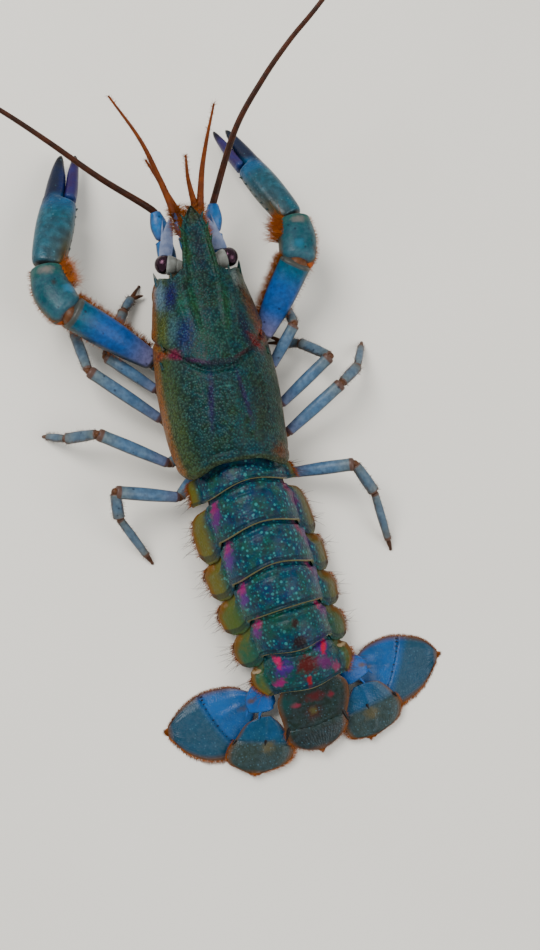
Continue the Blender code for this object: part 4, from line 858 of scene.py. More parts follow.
# Blotches of the abdomen, placed across and along it; a mark's reach goes across and along it too
ABDOMEN_SHADES = (((0, 40, 16), (14, 5, 12), 0, (22, 82, 56), 0.45),
                  ((0, 53, 13), (12, 5, 9), 0, (20, 74, 56), 0.4))
FLANK_SHADES = (((-12.5, 38.0, 9), (5, 9, 10), 0, (70, 100, 48), 0.7),
                ((-12.0, 49.0, 9), (6, 9, 10), 0, (28, 92, 72), 0.85),
                ((13.5, 47.0, 9), (6, 9, 10), 0, (56, 84, 50), 0.7))
ABDOMEN_MARKS = (
    ((-9.2, 8.6, 17.6), (1.0, 2.6), -6, (150, 10, 104)),
    ((-9.6, 11.4, 17.0), (1.1, 3.0), -12, (96, 22, 112)),
    ((-9.1, 19.4, 17.0), (1.0, 2.6), -8, (150, 12, 110)),
    ((-9.6, 22.4, 16.2), (1.2, 3.0), -14, (84, 34, 124)),
    ((-8.5, 29.8, 17.0), (1.0, 2.6), -10, (156, 12, 110)),
    ((-9.0, 32.6, 16.4), (1.2, 2.4), -18, (88, 34, 120)),
    ((-7.4, 39.2, 16.4), (1.1, 1.8), -14, (176, 12, 106)),
    ((-8.2, 41.2, 15.6), (1.3, 1.6), -24, (104, 30, 116)),
    ((10.2, 8.4, 16.0), (0.9, 2.6), 26, (112, 14, 70)), ((11.6, 11.4, 14.0), (1.7, 2.8), 24, (88, 20, 80)),
    ((9.8, 19.0, 16.0), (0.9, 2.6), 26, (118, 12, 74)), ((11.2, 21.6, 14.0), (1.6, 2.8), 24, (78, 26, 92)),
    ((9.6, 28.8, 15.6), (0.9, 2.2), 28, (126, 12, 84)), ((10.8, 31.0, 14.0), (1.6, 2.4), 24, (70, 30, 92)),
    ((8.9, 38.8, 14.8), (1.2, 1.6), 30, (156, 12, 84)), ((10.0, 40.6, 13.4), (1.5, 1.8), 20, (84, 26, 92)),
    ((1.3, 41.7, 19.2), (0.9, 1.2), 0, (52, 30, 26)), ((1.2, 46.5, 18.0), (2.0, 2.0), 10, (44, 14, 16)),
    ((-4.4, 51.6, 15.4), (2.8, 2.0), 20, (74, 36, 122)),
    ((-6.2, 54.6, 13.2), (1.8, 1.1), 24, (150, 26, 104)),
    ((-5.1, 49.4, 16.0), (0.9, 2.0), 28, (206, 14, 96)), ((6.6, 48.8, 15.4), (2.2, 2.6), -8, (74, 28, 112)),
    ((6.9, 49.3, 14.9), (0.8, 1.9), -6, (200, 10, 56)), ((6.0, 52.8, 14.0), (3.2, 1.6), -15, (104, 30, 96)),
    ((8.9, 54.9, 11.1), (1.3, 1.3), 0, (140, 52, 90)), ((1.7, 52.2, 15.5), (2.6, 3.0), 8, (92, 12, 10)),
    ((1.3, 56.2, 14.0), (0.6, 1.8), 8, (160, 14, 40)),
)


def make_abdomen_finish():
    """Teal plates with pale granules and rear rims, olive and orange lobes, magenta and dark marks."""
    finish = Finish("abdomen_teal", (6, 66, 82))
    u, v = finish.map_axis(0), finish.map_axis(1)
    finish.mottle(4.5, 0.6, (12, 88, 70), 0.8)
    finish.mottle(3.4, 0.8, (2, 50, 100), 0.55, seed=7)
    finish.spots(1.5, 0.3, 0.7, (4, 34, 56), 0.5, softness=0.3)
    finish.spots(0.8, 0.17, 0.9, (30, 126, 130), 0.5, softness=0.26)
    finish.spots(1.25, 0.19, 0.8, (72, 168, 166), 0.55, softness=0.15)
    finish.patches(ABDOMEN_SHADES, abdomen_point)
    finish.band(u, -1, 0.085, (112, 104, 26), 0.85, 0.055)
    finish.band(u, 0.93, 2, (90, 84, 26), 0.85, 0.045)
    finish.patches(FLANK_SHADES, abdomen_point)
    finish.mottle(2.0, 0.9, (96, 84, 40), 0.12, seed=11)
    finish.band(u, -1, 0.026, (128, 78, 20), 0.8, 0.03)
    finish.band(u, 0.972, 2, (116, 70, 24), 0.8, 0.03)
    for place, (wide, long), turn, colour in ABDOMEN_MARKS:
        finish.patch(abdomen_point(*place), (wide * 1.25, long * 1.2, 4), colour, 0.92,
                     turn=turn - ABDOMEN_DEGREES, ragged=0.7, softness=0.7)
    finish.band(v, 0.9, 0.965, (8, 38, 50), 0.55, 0.02)
    rear = finish.nodes.effect(BAND, Value=v, Start=0.984, End=2.0, Softness=0.008)["Mask"]
    middle = finish.nodes.effect(BAND, Value=u, Start=0.17, End=0.83, Softness=0.03)["Mask"]
    finish.lay(finish.nodes.maths("MULTIPLY", rear, middle), (150, 138, 92), 0.8)
    finish.grain(0.7, None, weight=0.8)
    finish.grain(1.9, None, weight=0.5)
    return finish.done(0.38, 0.12, 0.07, coat=0.02, specular=0.15)


def make_limb_finish(name, middle, root, end, edge, joint=(104, 66, 46), near=0.05, far=0.94, pale=0.2):
    """Limb colour along each segment: root, middle and far end, darker under it and brown at the joints."""
    finish = Finish(name, middle)
    u, v = finish.map_axis(0), finish.map_axis(1)
    finish.lay(finish.nodes.span(v, 0.4, 0.0), root, 0.85)
    finish.lay(finish.nodes.span(v, 0.6, 0.95), end, 0.8)
    finish.mottle(2.4, 0.7, (150, 170, 186), pale, seed=2)
    finish.mottle(1.1, 0.8, (20, 40, 70), 0.3, seed=9)
    finish.band(u, 0.47, 1.03, edge, 0.75, 0.08)
    finish.band(u, -1, 0.03, edge, 0.75, 0.08)
    finish.band(v, -1, near, joint, 0.8, 0.03)
    finish.band(v, far, 2, joint, 0.85, 0.03)
    finish.spots(1.9, 0.1, 0.35, (22, 26, 48), 0.6)
    finish.grain(0.5, None)
    return finish


def make_plain_finish(name, colour, second, roughness=0.45, bump=0.03, spacing=0.6, coat=0.1, **constants):
    """One colour, mottled with a second one."""
    finish = Finish(name, colour)
    finish.mottle(2.0, 0.6, second, 0.7, seed=4)
    finish.grain(spacing, None)
    return finish.done(roughness, 0.1, bump, coat=coat, **constants)


def make_fan_finish(name, front, second, rear, rim, start, slope, marks):
    """Tail blade: front colour up to a slanting line, rear colour past it, marks and a narrow rim."""
    finish = Finish(name, front)
    u, v = finish.map_axis(0), finish.map_axis(1)
    finish.mottle(5.0, 0.5, second, 0.6, seed=6)
    past = finish.nodes.maths("MULTIPLY_ADD", u, slope, v)
    finish.lay(finish.nodes.span(past, start - 0.02, start + 0.1), rear, 0.85)
    finish.mottle(1.0, 0.9, (104, 144, 160), 0.07, seed=3)
    for place, reach, turn, colour in marks:
        finish.patch(abdomen_point(*place), reach, colour, 0.85, turn=turn, ragged=0.5)
    for value, low, high in ((v, 0.98, 2), (u, 0.97, 2), (u, -1, 0.02)):
        finish.band(value, low, high, rim, 0.55, 0.07)
        finish.band(value, low + 0.005, high - 0.005, rim, 0.6, 0.012)
    finish.spots(0.8, 0.1, 0.5, (96, 150, 170), 0.3, softness=0.2)
    finish.grain(0.5, None)
    return finish.done(0.34, 0.12, 0.04, coat=0.06)


# Wrist marks as middle, reach and colour: dark spots, pale condyles and two light-blue painted highlights
CARPUS_MARKS_AND_HIGHLIGHTS = (((-36.2, 53.6, 20), (1.0, 1.0, 3), (58, 40, 34)),
                ((-32.6, 51.6, 20), (2.2, 1.7, 4), (62, 134, 170)),
                ((31.4, 52.6, 20), (1.0, 1.1, 3), (70, 44, 36)),
                ((-37.6, 57.6, 18), (2.6, 1.7, 4), (140, 126, 118)),
                ((28.6, 61.2, 18), (2.4, 1.5, 4), (132, 122, 114)),
                ((27.0, 54.2, 20), (1.8, 1.7, 4), (44, 118, 146)))


def make_carpus_finish():
    """Wrist: a limb's teal with dark and pale marks, and light-blue painted highlights."""
    finish = make_limb_finish(
        "carpus_teal", (26, 86, 94), (64, 110, 122), (36, 92, 76), (92, 74, 40), (104, 70, 62),
        near=0.02, far=0.975, pale=0.08)
    # The two light-blue rows are painted highlights; the rest are the wrist's own marks
    for place, reach, colour in CARPUS_MARKS_AND_HIGHLIGHTS:
        finish.patch(place, reach, colour, 0.7, softness=0.8)
    return finish.done(0.38, 0.1, 0.03, coat=0.03, specular=0.16)


def make_palm_finish():
    """Hand: teal palm with an olive inner base, blue before the fingers, then navy to a black tip."""
    finish = Finish("palm_teal", (40, 97, 114))
    nodes, u, v = finish.nodes, finish.map_axis(0), finish.map_axis(1)
    finish.mottle(3.0, 0.7, (66, 124, 140), 0.5)
    finish.mottle(1.6, 0.8, (24, 70, 80), 0.5, seed=8)
    finish.lay(nodes.span(v, 0.4, 0.54), (30, 94, 144), 0.75)
    inner_base = nodes.maths("MULTIPLY", nodes.span(v, 0.4, 0.08), nodes.span(u, 0.2, 0.38))
    finish.lay(inner_base, (92, 76, 34), 0.92)
    slanted = nodes.maths("MULTIPLY_ADD", u, -0.42, v)
    finish.lay(nodes.span(slanted, 0.43, 0.53), (34, 38, 62), 0.95)
    finish.patch((-29.4, 84.5, 8), (1.6, 6.0, 6), (20, 44, 112), 0.7, turn=-16)
    finish.mottle(2.4, 0.8, (44, 44, 52), 0.35, seed=12)
    finish.lay(nodes.span(v, 0.84, 0.96), (14, 16, 24), 0.95)
    finish.band(u, 0.5, 0.96, (60, 70, 56), 0.7, 0.06)
    finish.band(v, -1, 0.008, (50, 42, 36), 0.8, 0.01)
    finish.spots(1.2, 0.1, 0.4, (110, 160, 170), 0.35)
    finish.grain(0.6, None)
    return finish.done(0.34, 0.1, 0.04, coat=0.06)


def make_finger_finish():
    """Dactyl: blue at its root, then violet, with a black tip."""
    finish = Finish("finger_violet", (54, 46, 104))
    v = finish.map_axis(1)
    finish.mottle(2.0, 0.7, (64, 44, 84), 0.7)
    finish.lay(finish.nodes.span(v, 0.65, 0.59), (44, 76, 132), 0.7)
    finish.lay(finish.nodes.span(v, 0.86, 0.97), (18, 22, 30), 0.95)
    finish.grain(0.6, None)
    return finish.done(0.34, 0.1, 0.03, coat=0.06)


CARAPACE_TEAL = make_carapace_finish()
ABDOMEN_TEAL = make_abdomen_finish()
MERUS_BLUE = make_limb_finish(
    "merus_blue", (0, 94, 172), (176, 166, 212), (16, 98, 98), (40, 56, 34), (84, 78, 66),
    pale=0.05).done(0.36, 0.1, 0.03, coat=0.04, specular=0.18)
PEDUNCLE_BLUE = make_limb_finish(
    "peduncle_blue", (44, 124, 196), (96, 120, 176), (30, 112, 186), (60, 70, 84),
    near=0.02, far=1.5).done(0.34, 0.1, 0.03, coat=0.04)
LEG_BLUE = make_limb_finish(
    "leg_blue", (84, 122, 156), (122, 128, 168), (112, 126, 124), (78, 64, 48)
).done(0.38, 0.1, 0.03, coat=0.04)
SHANK_SLATE = make_limb_finish(
    "shank_slate", (92, 116, 134), (104, 112, 104), (112, 110, 96), (78, 66, 52)
).done(0.4, 0.1, 0.03, coat=0.04)

CARPUS_TEAL = make_carpus_finish()
PALM_TEAL = make_palm_finish()
FINGER_VIOLET = make_finger_finish()

FAN_BLUE = make_fan_finish(
    "fan_blue", (18, 96, 166), (22, 72, 116), (42, 74, 84), (104, 66, 30), 0.55, 0.24,
    (((-16.2, 58.4, 4), (2.0, 1.0, 4), 6, (96, 84, 74)),
     ((18.0, 58.4, 4), (2.0, 1.0, 4), 24, (104, 88, 74))))
FAN_OLIVE = make_fan_finish(
    "fan_olive", (8, 82, 126), (16, 70, 84), (52, 60, 40), (108, 68, 32), 0.42, 0.0,
    (((-12.6, 69.6, 2), (2.4, 2.0, 4), 0, (92, 84, 56)),
     ((15.6, 69.6, 2), (2.6, 2.0, 4), 20, (92, 84, 56))))
TELSON_OLIVE = make_fan_finish(
    "telson_olive", (34, 50, 42), (48, 40, 40), (38, 46, 46), (108, 66, 36), 0.66, 0.0,
    (((2.0, 60.6, 9), (3.2, 1.6, 3), 0, (96, 26, 30)), ((-3.5, 61.4, 8.4), (1.6, 0.8, 3), 0, (160, 40, 70)),
     ((6.2, 61.4, 8), (1.0, 1.0, 3), 20, (130, 34, 50)), ((0.9, 64.4, 6.6), (2.3, 2.2, 3), 0, (74, 36, 24)),
     ((0.9, 64.0, 6.6), (1.3, 1.3, 3), 0, (92, 88, 50)), ((-6.0, 60.0, 8), (3.4, 3.4, 5), 0, (14, 72, 70))))
STALK_BLUE = make_fan_finish(
    "stalk_blue", (10, 96, 176), (14, 76, 132), (18, 88, 140), (50, 70, 84), 0.9, 0.0,
    (((-13.4, 57.0, 6), (1.6, 0.8, 3), 20, (96, 74, 62)),
     ((16.6, 57.0, 6), (1.6, 0.8, 3), -10, (96, 74, 62))))

JOINT_BROWN = make_plain_finish("joint_brown", (112, 70, 42), (72, 46, 34), coat=0.02)
MEMBRANE_ORANGE = make_plain_finish("membrane_orange", (196, 92, 24), (140, 66, 26), coat=0.02)
SPINE_BLACK = make_plain_finish("spine_black", (26, 22, 22), (40, 30, 26), 0.35)
BELLY_PALE = make_plain_finish("belly_pale", (166, 142, 104), (126, 104, 78), 0.5, 0.05, 1.0)
FEELER_BROWN = make_plain_finish("feeler_brown", (88, 46, 6), (46, 34, 8), coat=0.02)
ANTENNULE_ORANGE = make_plain_finish("antennule_orange", (146, 72, 12), (104, 50, 18), 0.5, coat=0.0)
# Antenna scale: its own lavender, made paler all over as painted highlight for the whitish sheen along its
# rib
SCALE_LAVENDER_AND_HIGHLIGHT = make_plain_finish("scale_lavender_and_highlight", (150, 160, 190), (104, 122, 160), 0.4, coat=0.02)
STALK_GREY = make_plain_finish("stalk_grey", (158, 160, 152), (112, 112, 104), coat=0.02)
CORNEA_BLACK = make_plain_finish("cornea_black", (30, 4, 22), (16, 4, 16), 0.16, 0.012, 0.16, coat=0.05,
                                 specular=0.5, Specular_Tint=(1.0, 0.42, 0.7, 1.0))
SETA_ORANGE = make_plain_finish("seta_orange", (178, 96, 24), (124, 66, 24), 0.6, 0.01, 0.4, coat=0.0)
SETA_BRUSH = make_plain_finish("seta_brush", (204, 108, 24), (140, 70, 20), 0.6, 0.01, 0.4, coat=0.0)
SETA_DARK = make_plain_finish("seta_dark", (104, 66, 42), (66, 42, 30), 0.6, 0.01, 0.4, coat=0.0)
CLAW_TIP = make_plain_finish("claw_tip", (96, 58, 34), (54, 34, 26))


# Carapace

def carapace_point(y, angle, lift=0.0):
    """Shell surface at y and at an angle in degrees from its top, lifted off the plain form."""
    turn = np.radians(angle)
    half_width = curve(CARAPACE_HALF_WIDTH, y) + lift
    height = curve(CARAPACE_TOP, y) - CARAPACE_MIDDLE_Z
    rise = np.where(np.abs(angle) < 90, height, CARAPACE_LOWER_DEPTH) + lift
    x = curve(CARAPACE_SWAY, y) + half_width * np.sin(turn)
    return np.stack((x, y + 0 * x, CARAPACE_MIDDLE_Z + rise * np.cos(turn)), -1)


def carapace_relief(y, angle):
    """Height of grooves, keels and rims over the plain shell."""
    size = np.abs(angle)
    x = np.abs(carapace_point(y, angle)[..., 0] - curve(CARAPACE_SWAY, y))
    past_groove = y - curve(GROOVE, size)
    from_rear, from_front = y - curve(REAR_EDGE, size), curve(FRONT_EDGE, size) - y
    lift = -GROOVE_DEPTH * bell(past_groove / 0.8) + 0.22 * bell((past_groove - 2.2) / 1.5)
    top = smooth((70 - size) / 12)
    areola = smooth((21.0 - y) / 3) * smooth((y - 2.5) / 2)
    lift -= 0.3 * bell((x - curve(AREOLA_HALF_WIDTH, y)) / 0.45) * areola * top
    lift -= 0.3 * bell((from_rear - 2.6) / 0.45) - 0.12 * bell((from_rear - 1.2) / 0.8)
    lift -= 0.35 * (1 - smooth(from_rear / 0.7))
    lift += 0.25 * bell((from_front - 0.7) / 0.5) * smooth((size - 24) / 8)
    lift -= 0.35 * (1 - smooth(from_front / 0.6))
    for x_rear, y_rear, x_front, y_front, height in KEELS:
        share = np.clip((y - y_rear) / (y_front - y_rear), 0, 1)
        middle = x_rear + (x_front - x_rear) * share
        swell = np.sin(math.pi * (0.04 + 0.92 * share)) ** 0.6 * (share > 0) * (share < 1)
        lift += height * 1.5 * bell((x - middle) / 0.55) * swell
    lift -= 0.35 * bell((size - 112) / 2.4) * smooth((y - 4) / 3) - 0.2 * bell((size - 119) / 2.5)
    lift -= 0.5 * smooth((y - 45) / 4) * smooth((4.6 - x) / 0.8)
    return lift


def shell_top(x, y, sink=0.0):
    """Point on the carapace's upper surface."""
    share = min(abs(x) / float(curve(CARAPACE_HALF_WIDTH, y)), 0.99)
    rise = (float(curve(CARAPACE_TOP, y)) - CARAPACE_MIDDLE_Z) * math.sqrt(1 - share * share)
    return np.array((x, y, CARAPACE_MIDDLE_Z + rise - sink))


def carapace_under(y):
    """Line under the shell at y, from its left edge over the body's recess to its right edge."""
    edge, left_edge = (carapace_point(np.array(y), np.array(side * EDGE_ANGLE)) for side in (RIGHT, LEFT))
    step = smooth((y - ROOF_Z[0][0]) / (ROOF_Z[1][0] - ROOF_Z[0][0]))
    roof = ROOF_Z[0][1] + (ROOF_Z[1][1] - ROOF_Z[0][1]) * step
    inner = max(edge[0] - 1.7, ROOF_HALF_WIDTH + 0.5)
    half = [edge, (inner, y, edge[2] + 0.05), (ROOF_HALF_WIDTH, y, roof)]
    return [left_edge] + [mirrored(point, LEFT) for point in half[1:]] + half[::-1]


def rostrum_middle(y):
    return ROSTRUM_LEAN * np.maximum(np.asarray(y, float) - 46, 0)


def rostrum_grid():
    """Rings round the rostrum, with its raised margins and hollow top."""
    y = np.linspace(ROSTRUM[0][0], ROSTRUM[-1][0], 90)
    half_width, top = curve(ROSTRUM, y).T
    top = top - 0.9 * (1 - smooth((y - 43.5) / 4.5))
    across = np.linspace(-1, 1, 41)
    rim = np.minimum(0.9, half_width * 0.3)[:, None]
    x = across * half_width[:, None]
    outside = np.abs(x) - (half_width[:, None] - 0.62 * rim)
    z = top[:, None] - 0.28 + 0.62 * bell(outside / (0.55 * rim + 0.1)) - 0.2 * smooth(outside / rim + 0.2)
    turn = np.linspace(0, math.pi, 19)[1:-1]
    depth = (ROSTRUM_DEPTH * np.minimum(1.0, 0.25 + half_width / 4.5))[:, None]
    x_low = half_width[:, None] * np.cos(turn)
    z_low = top[:, None] - 0.2 - (depth - 0.2) * np.sin(turn) ** 0.8
    x, z = np.hstack((x, x_low)), np.hstack((z, z_low))
    return np.stack((x + rostrum_middle(y)[:, None], np.broadcast_to(y[:, None], x.shape), z), -1)


def make_carapace():
    """Shell with its rostrum, spines and recess, and the rostrum's hairs."""
    piece = Piece()
    angles = np.linspace(-EDGE_ANGLE, EDGE_ANGLE, 193)
    size = np.abs(angles)
    rear, groove, front = curve(REAR_EDGE, size), curve(GROOVE, size), curve(FRONT_EDGE, size)
    share = np.linspace(0, 1, 104)[:, None]
    y = np.vstack((rear + (groove - rear) * share, groove + (front - groove) * share[1:]))
    turned = np.broadcast_to(angles, y.shape)
    lift = carapace_relief(y, turned)
    grid = carapace_point(y, turned, lift)
    u = (angles / EDGE_ANGLE + 1) / 2
    piece.sheet(grid, u=u)
    ends = ((rear, CARAPACE_WALLS[0], lift[0], grid[0], 0.0),
            (front, CARAPACE_WALLS[1], lift[-1], grid[-1], 1.0))
    for line, wall, edge_lift, outer, place in ends:
        inner = carapace_point(line, angles, edge_lift - 0.45)
        deep = carapace_point(line, angles, -SHELL_THICKNESS)
        back = carapace_point(np.full(len(angles), wall), angles, -SHELL_THICKNESS)
        closing = resample(carapace_under(wall), len(angles))
        piece.sheet(np.stack((outer, inner, deep)), u=u, v=np.full(3, place))
        piece.sheet(np.stack((deep, back, closing)), kind=1)
    under = [resample(carapace_under(wall), 41) for wall in np.linspace(*CARAPACE_WALLS, 30)]
    piece.sheet(np.stack(under), kind=1)
    crest = rostrum_grid()
    piece.sheet(crest, u=np.full(crest.shape[1] + 1, 0.5), v=np.linspace(0.85, 0.97, len(crest)), wrap=True)
    piece.cap(crest[-1], (0.5, 0.97))
    for side in SIDES:
        piece.spike((side * 10.6, 49.4, 17.6), (side * 11.2, 53.0, 18.0), 0.75)
        for (x, y, sink), (tip_x, tip_y, rise), radius in SHELL_SPINES:
            piece.spike(shell_top(side * x, y, sink), shell_top(side * tip_x, tip_y, -rise), radius)
        for y in ROSTRUM_SPINES_Y:
            half_width, top = curve(ROSTRUM, y)
            middle = float(rostrum_middle(y))
            piece.spike((middle + side * (half_width - 0.7), y - 0.8, top - 0.1),
                        (middle + side * (half_width + 0.4), y + 1.6, top + 0.5), 0.5)
    piece.make("carapace_shell", [CARAPACE_TEAL, BELLY_PALE], "shell_teal", "carapace")
    fringe = Fringe(10)
    for column, side in ((44, RIGHT), (54, LEFT)):
        line = crest[56:, column]
        spot = map_line(len(line), 0.5, (0.9, 0.97))
        fringe.add(line, (side * 0.9, 0.8, -0.2), spot, 320, 2.6, 0.055, 0.35, 0.1)
    fringe.make("rostrum_setae", SETA_ORANGE, "carapace")


# Abdomen

def rear_edge(somite, angle):
    """Place along the abdomen of a tergite's rear edge."""
    size = np.abs(angle)
    lobe = smooth((size - 80) / 20) * (1 - 0.5 * smooth((size - 108) / 14))
    return SOMITE_REAR[somite] + SOMITE_SHOULDER[somite] * smooth(size / 75) + PLEURON_LOBE[somite] * lobe


def front_limit(somite, angle):
    """Place along the abdomen where the plate before this one ends."""
    if somite:
        return rear_edge(somite - 1, angle)
    sideways = ABDOMEN_HALF_WIDTH[0][1] * np.sin(np.radians(np.clip(angle, -90, 90)))
    edge_y = curve(REAR_EDGE, np.minimum(np.abs(angle), 104))
    return (sideways * math.sin(ABDOMEN_TURN) - edge_y) / math.cos(ABDOMEN_TURN)


def flank_x(somite, along, inset, z):
    """Half width of a pleuron's outer face at a height under its hinge."""
    tergite = curve(TERGITE_HALF_WIDTH, along) - inset
    flare = curve(ABDOMEN_HALF_WIDTH, along) - inset - tergite
    depth = np.clip((HINGE_Z[somite] - z) / (HINGE_Z[somite] - PLEURON_LOW_Z[somite]), 0, 1)
    return tergite + flare * (1 - (1 - depth) ** 1.7)


def somite_arch(somite, angle, along, inset, low):
    """Arch of a somite at places along the abdomen; past 90 degrees it runs down the pleuron."""
    hinge = HINGE_Z[somite]
    turn = HINGE_TURN * np.minimum(np.abs(angle) / 90, 1)
    drop = np.clip((np.abs(angle) - 90) / (PLEURON_ANGLE - 90), 0, 1)
    height = (np.cos(turn) - math.cos(HINGE_TURN)) / (1 - math.cos(HINGE_TURN))
    z = np.where(drop > 0, hinge - (hinge - low) * drop,
                 hinge + (curve(ABDOMEN_TOP, along) - min(inset, 1.3) - hinge) * height)
    x = (curve(TERGITE_HALF_WIDTH, along) - inset) * np.sin(turn) / math.sin(HINGE_TURN)
    x = np.where(drop > 0, flank_x(somite, along, inset, z), x)
    return body_point(np.sign(angle) * x, along, z)


def somite_under(somite, along, inset, low):
    """Line under a somite from its right edge to its left one, without the edges."""
    edge = float(flank_x(somite, along, inset, low))
    inner = float(curve(TERGITE_HALF_WIDTH, along)) - inset
    right = ((edge - 1.2, low + 0.1), (inner - 2.2, max(HINGE_Z[somite] + 0.3, low + 0.4)))
    both = list(right) + [(-x, z) for x, z in reversed(right)]
    return np.array([body_point(x, along, z) for x, z in both])


def somite_walls(somite):
    """Places of a somite's flat front and rear faces."""
    walls = np.subtract(SOMITE_REAR, SOMITE_WALL_DEPTH)
    return walls[somite - 1] + GAP if somite else -1.4, walls[somite]


def make_swimmeret(piece, side, along, z):
    """Stalk and two blades under the abdomen, from a root's place along it and height."""
    stalk = ((side * 6.4, along, z + 1.6), (side * 6.9, along + 0.4, z - 2.2),
             (side * 7.3, along + 1.2, z - 4.6))
    piece.tube(spline(body_point(*np.transpose(stalk)), 12), np.linspace(0.95, 0.6, 12), count=14, kind=1)
    for spread, share_of_length in ((9.6, 1.0), (5.6, 0.88)):
        length = SWIMMERET_LENGTH * share_of_length
        line = ((side * 7.3, along + 0.8, z - 3.8),
                (side * (7.3 + spread) / 2, along + 0.45 * length, z - 5.6),
                (side * spread, along + length, z - 7.4))
        share = np.linspace(0, 1, 16)
        width = 0.4 + 0.8 * np.sin(math.pi * np.clip(share * 1.05, 0, 1)) ** 0.7
        blade_path = spline(body_point(*np.transpose(line)), 16)
        piece.tube(blade_path, width, width * 0.35 + 0.05, count=14, kind=1)


def somite_arches(somite, angle, front, rear):
    """Arches of a somite's body and those of its rear lip, as (somite, place, inset, low edge)."""
    low = PLEURON_LOW_Z[somite]
    limit, edge = front_limit(somite, angle), rear_edge(somite, angle)
    aside = smooth((np.abs(angle) - 86) / 12)
    just_behind = np.clip(limit + 0.5 + 0.7 * aside, front + 0.6, rear - 1.2)
    risen = np.clip(limit + 1.4 + aside, front + 1.4, rear - 0.6)
    flat_front, flat_rear = np.full(len(angle), front), np.full(len(angle), rear)
    if somite:
        before, inset = somite - 1, TERGITE_LIP + GAP + 0.45
        tucked = PLEURON_LOW_Z[before] + TUCKED_RISE
        middle_low = low + 0.35 * (max(low, HINGE_Z[somite] - 0.1) - low)
        body = [(before, flat_front, inset, tucked), (before, just_behind, inset, tucked),
                (somite, risen, 0.35, middle_low), (somite, risen + 0.5 * (rear - risen), 0.0, low),
                (somite, flat_rear, 0.0, low)]
    else:
        raised = HINGE_Z[0] - 0.6
        body = [(0, flat_front, 1.5, raised), (0, just_behind, 1.2, raised), (0, risen, 0.6, low),
                (0, flat_rear, 0.2, low)]
    lip_low = low + 0.9 if somite else low
    return body, [(somite, (flat_rear + edge) / 2, 0.0, (low + lip_low) / 2), (somite, edge, 0.1, lip_low)]


def somite_relief(somite, size, v):
    """Height of the seam, furrows and knobs over a somite's plain skin."""
    span = float(SOMITE_REAR[somite] - (SOMITE_REAR[somite - 1] if somite else 0))
    from_rear = (1 - v) * (span + 2.0)
    lift = -0.16 * bell((from_rear - 0.95) / 0.22) + 0.06 * bell((from_rear - 0.4) / 0.3)
    lift -= 0.3 * (1 - smooth(from_rear / 0.35))
    if somite:
        lift -= 0.3 * bell((from_rear - span * 0.78) / 0.5) * smooth((100 - size) / 10)
        lift += 0.14 * bell((from_rear - span * 0.6) / 1.2)
        lift += 0.35 * bell((size - 116) / 3.2) * smooth(from_rear / 0.8)
        lift -= 0.3 * bell((size - 88) / 2.2) * bell((from_rear - span * 0.45) / 2.4)
        lift += 0.35 * bell((size - 84) / 3.0) * bell((from_rear - span * 0.72) / 1.0)
    return lift


def make_somite(somite):
    number, piece = somite + 1, Piece()
    angle = np.linspace(-PLEURON_ANGLE, PLEURON_ANGLE, 161)
    front, rear = somite_walls(somite)
    body, lip = somite_arches(somite, angle, front, rear)
    grid = refine([somite_arch(owner, angle, *rest) for owner, *rest in body + lip], 72)
    behind = np.linalg.norm(grid[1:] - grid[:-1], axis=2)
    v = np.concatenate((np.zeros((1, len(angle))), np.cumsum(behind, axis=0)))
    v /= v[-1]
    normal = unit(np.cross(np.gradient(grid, axis=1), np.gradient(grid, axis=0)))
    outward = grid - body_point(0, (front + rear) / 2, HINGE_Z[somite] - 2.0)
    normal *= np.sign(np.sum(normal * outward, axis=-1, keepdims=True))
    grid = grid + normal * somite_relief(somite, np.abs(angle), v)[..., None]
    u = (angle / PLEURON_ANGLE + 1) / 2
    piece.sheet(grid, u=u, v=v)

    (_, edge, _, lip_low), (_, flat_rear, _, low) = lip[-1], body[-1]
    deep = somite_arch(somite, angle, edge, TERGITE_LIP, lip_low)
    back = somite_arch(somite, angle, flat_rear, TERGITE_LIP, low)
    piece.sheet(np.stack((grid[-1], deep)), u=u, v=np.ones(2))
    lines = []
    for owner, along, inset, floor in body:
        ends = somite_arch(owner, angle, along, inset, floor)
        below = somite_under(owner, float(along[-1]), inset, floor)
        lines.append(resample(np.vstack((ends[-1:], below, ends[:1])), 41))
    piece.sheet(refine(lines, 30), kind=1)
    piece.sheet(np.stack((deep, back, resample(lines[-1][::-1], len(angle)))), kind=1)
    piece.sheet(np.stack((grid[0], resample(lines[0][::-1], len(angle)))), kind=1)
    if 0 < somite < 5:
        for side in SIDES:
            make_swimmeret(piece, side, front + 2.6, HINGE_Z[somite] - 0.1)
    piece.make(f"abdomen_plate_{number}", [ABDOMEN_TEAL, BELLY_PALE], "shell_teal", f"abdomen_{number}")

    fringe, bristles = Fringe(20 + somite), Fringe(120 + somite)
    first = int(len(v) * 0.35)
    for side, column in ((LEFT, 0), (RIGHT, -1)):
        line = grid[first:-3, column]
        way = abdomen_way(side * 1.0, 0.35, -0.1)
        spot = np.stack((np.full(len(line), max(side, 0)), v[first:-3, column]), -1)
        fringe.add(line, way, spot, 170, 1.3, 0.045, 0.35, 0.05)
        bristles.add(line, way + (0, 0, 0.25), spot, PLEURON_BRISTLES[side], 5.0, 0.06, 0.35, 0.12)
    fringe.make(f"abdomen_setae_{number}", SETA_ORANGE, f"abdomen_{number}")
    bristles.make(f"abdomen_bristles_{number}", SETA_DARK, f"abdomen_{number}")


# Tail fan

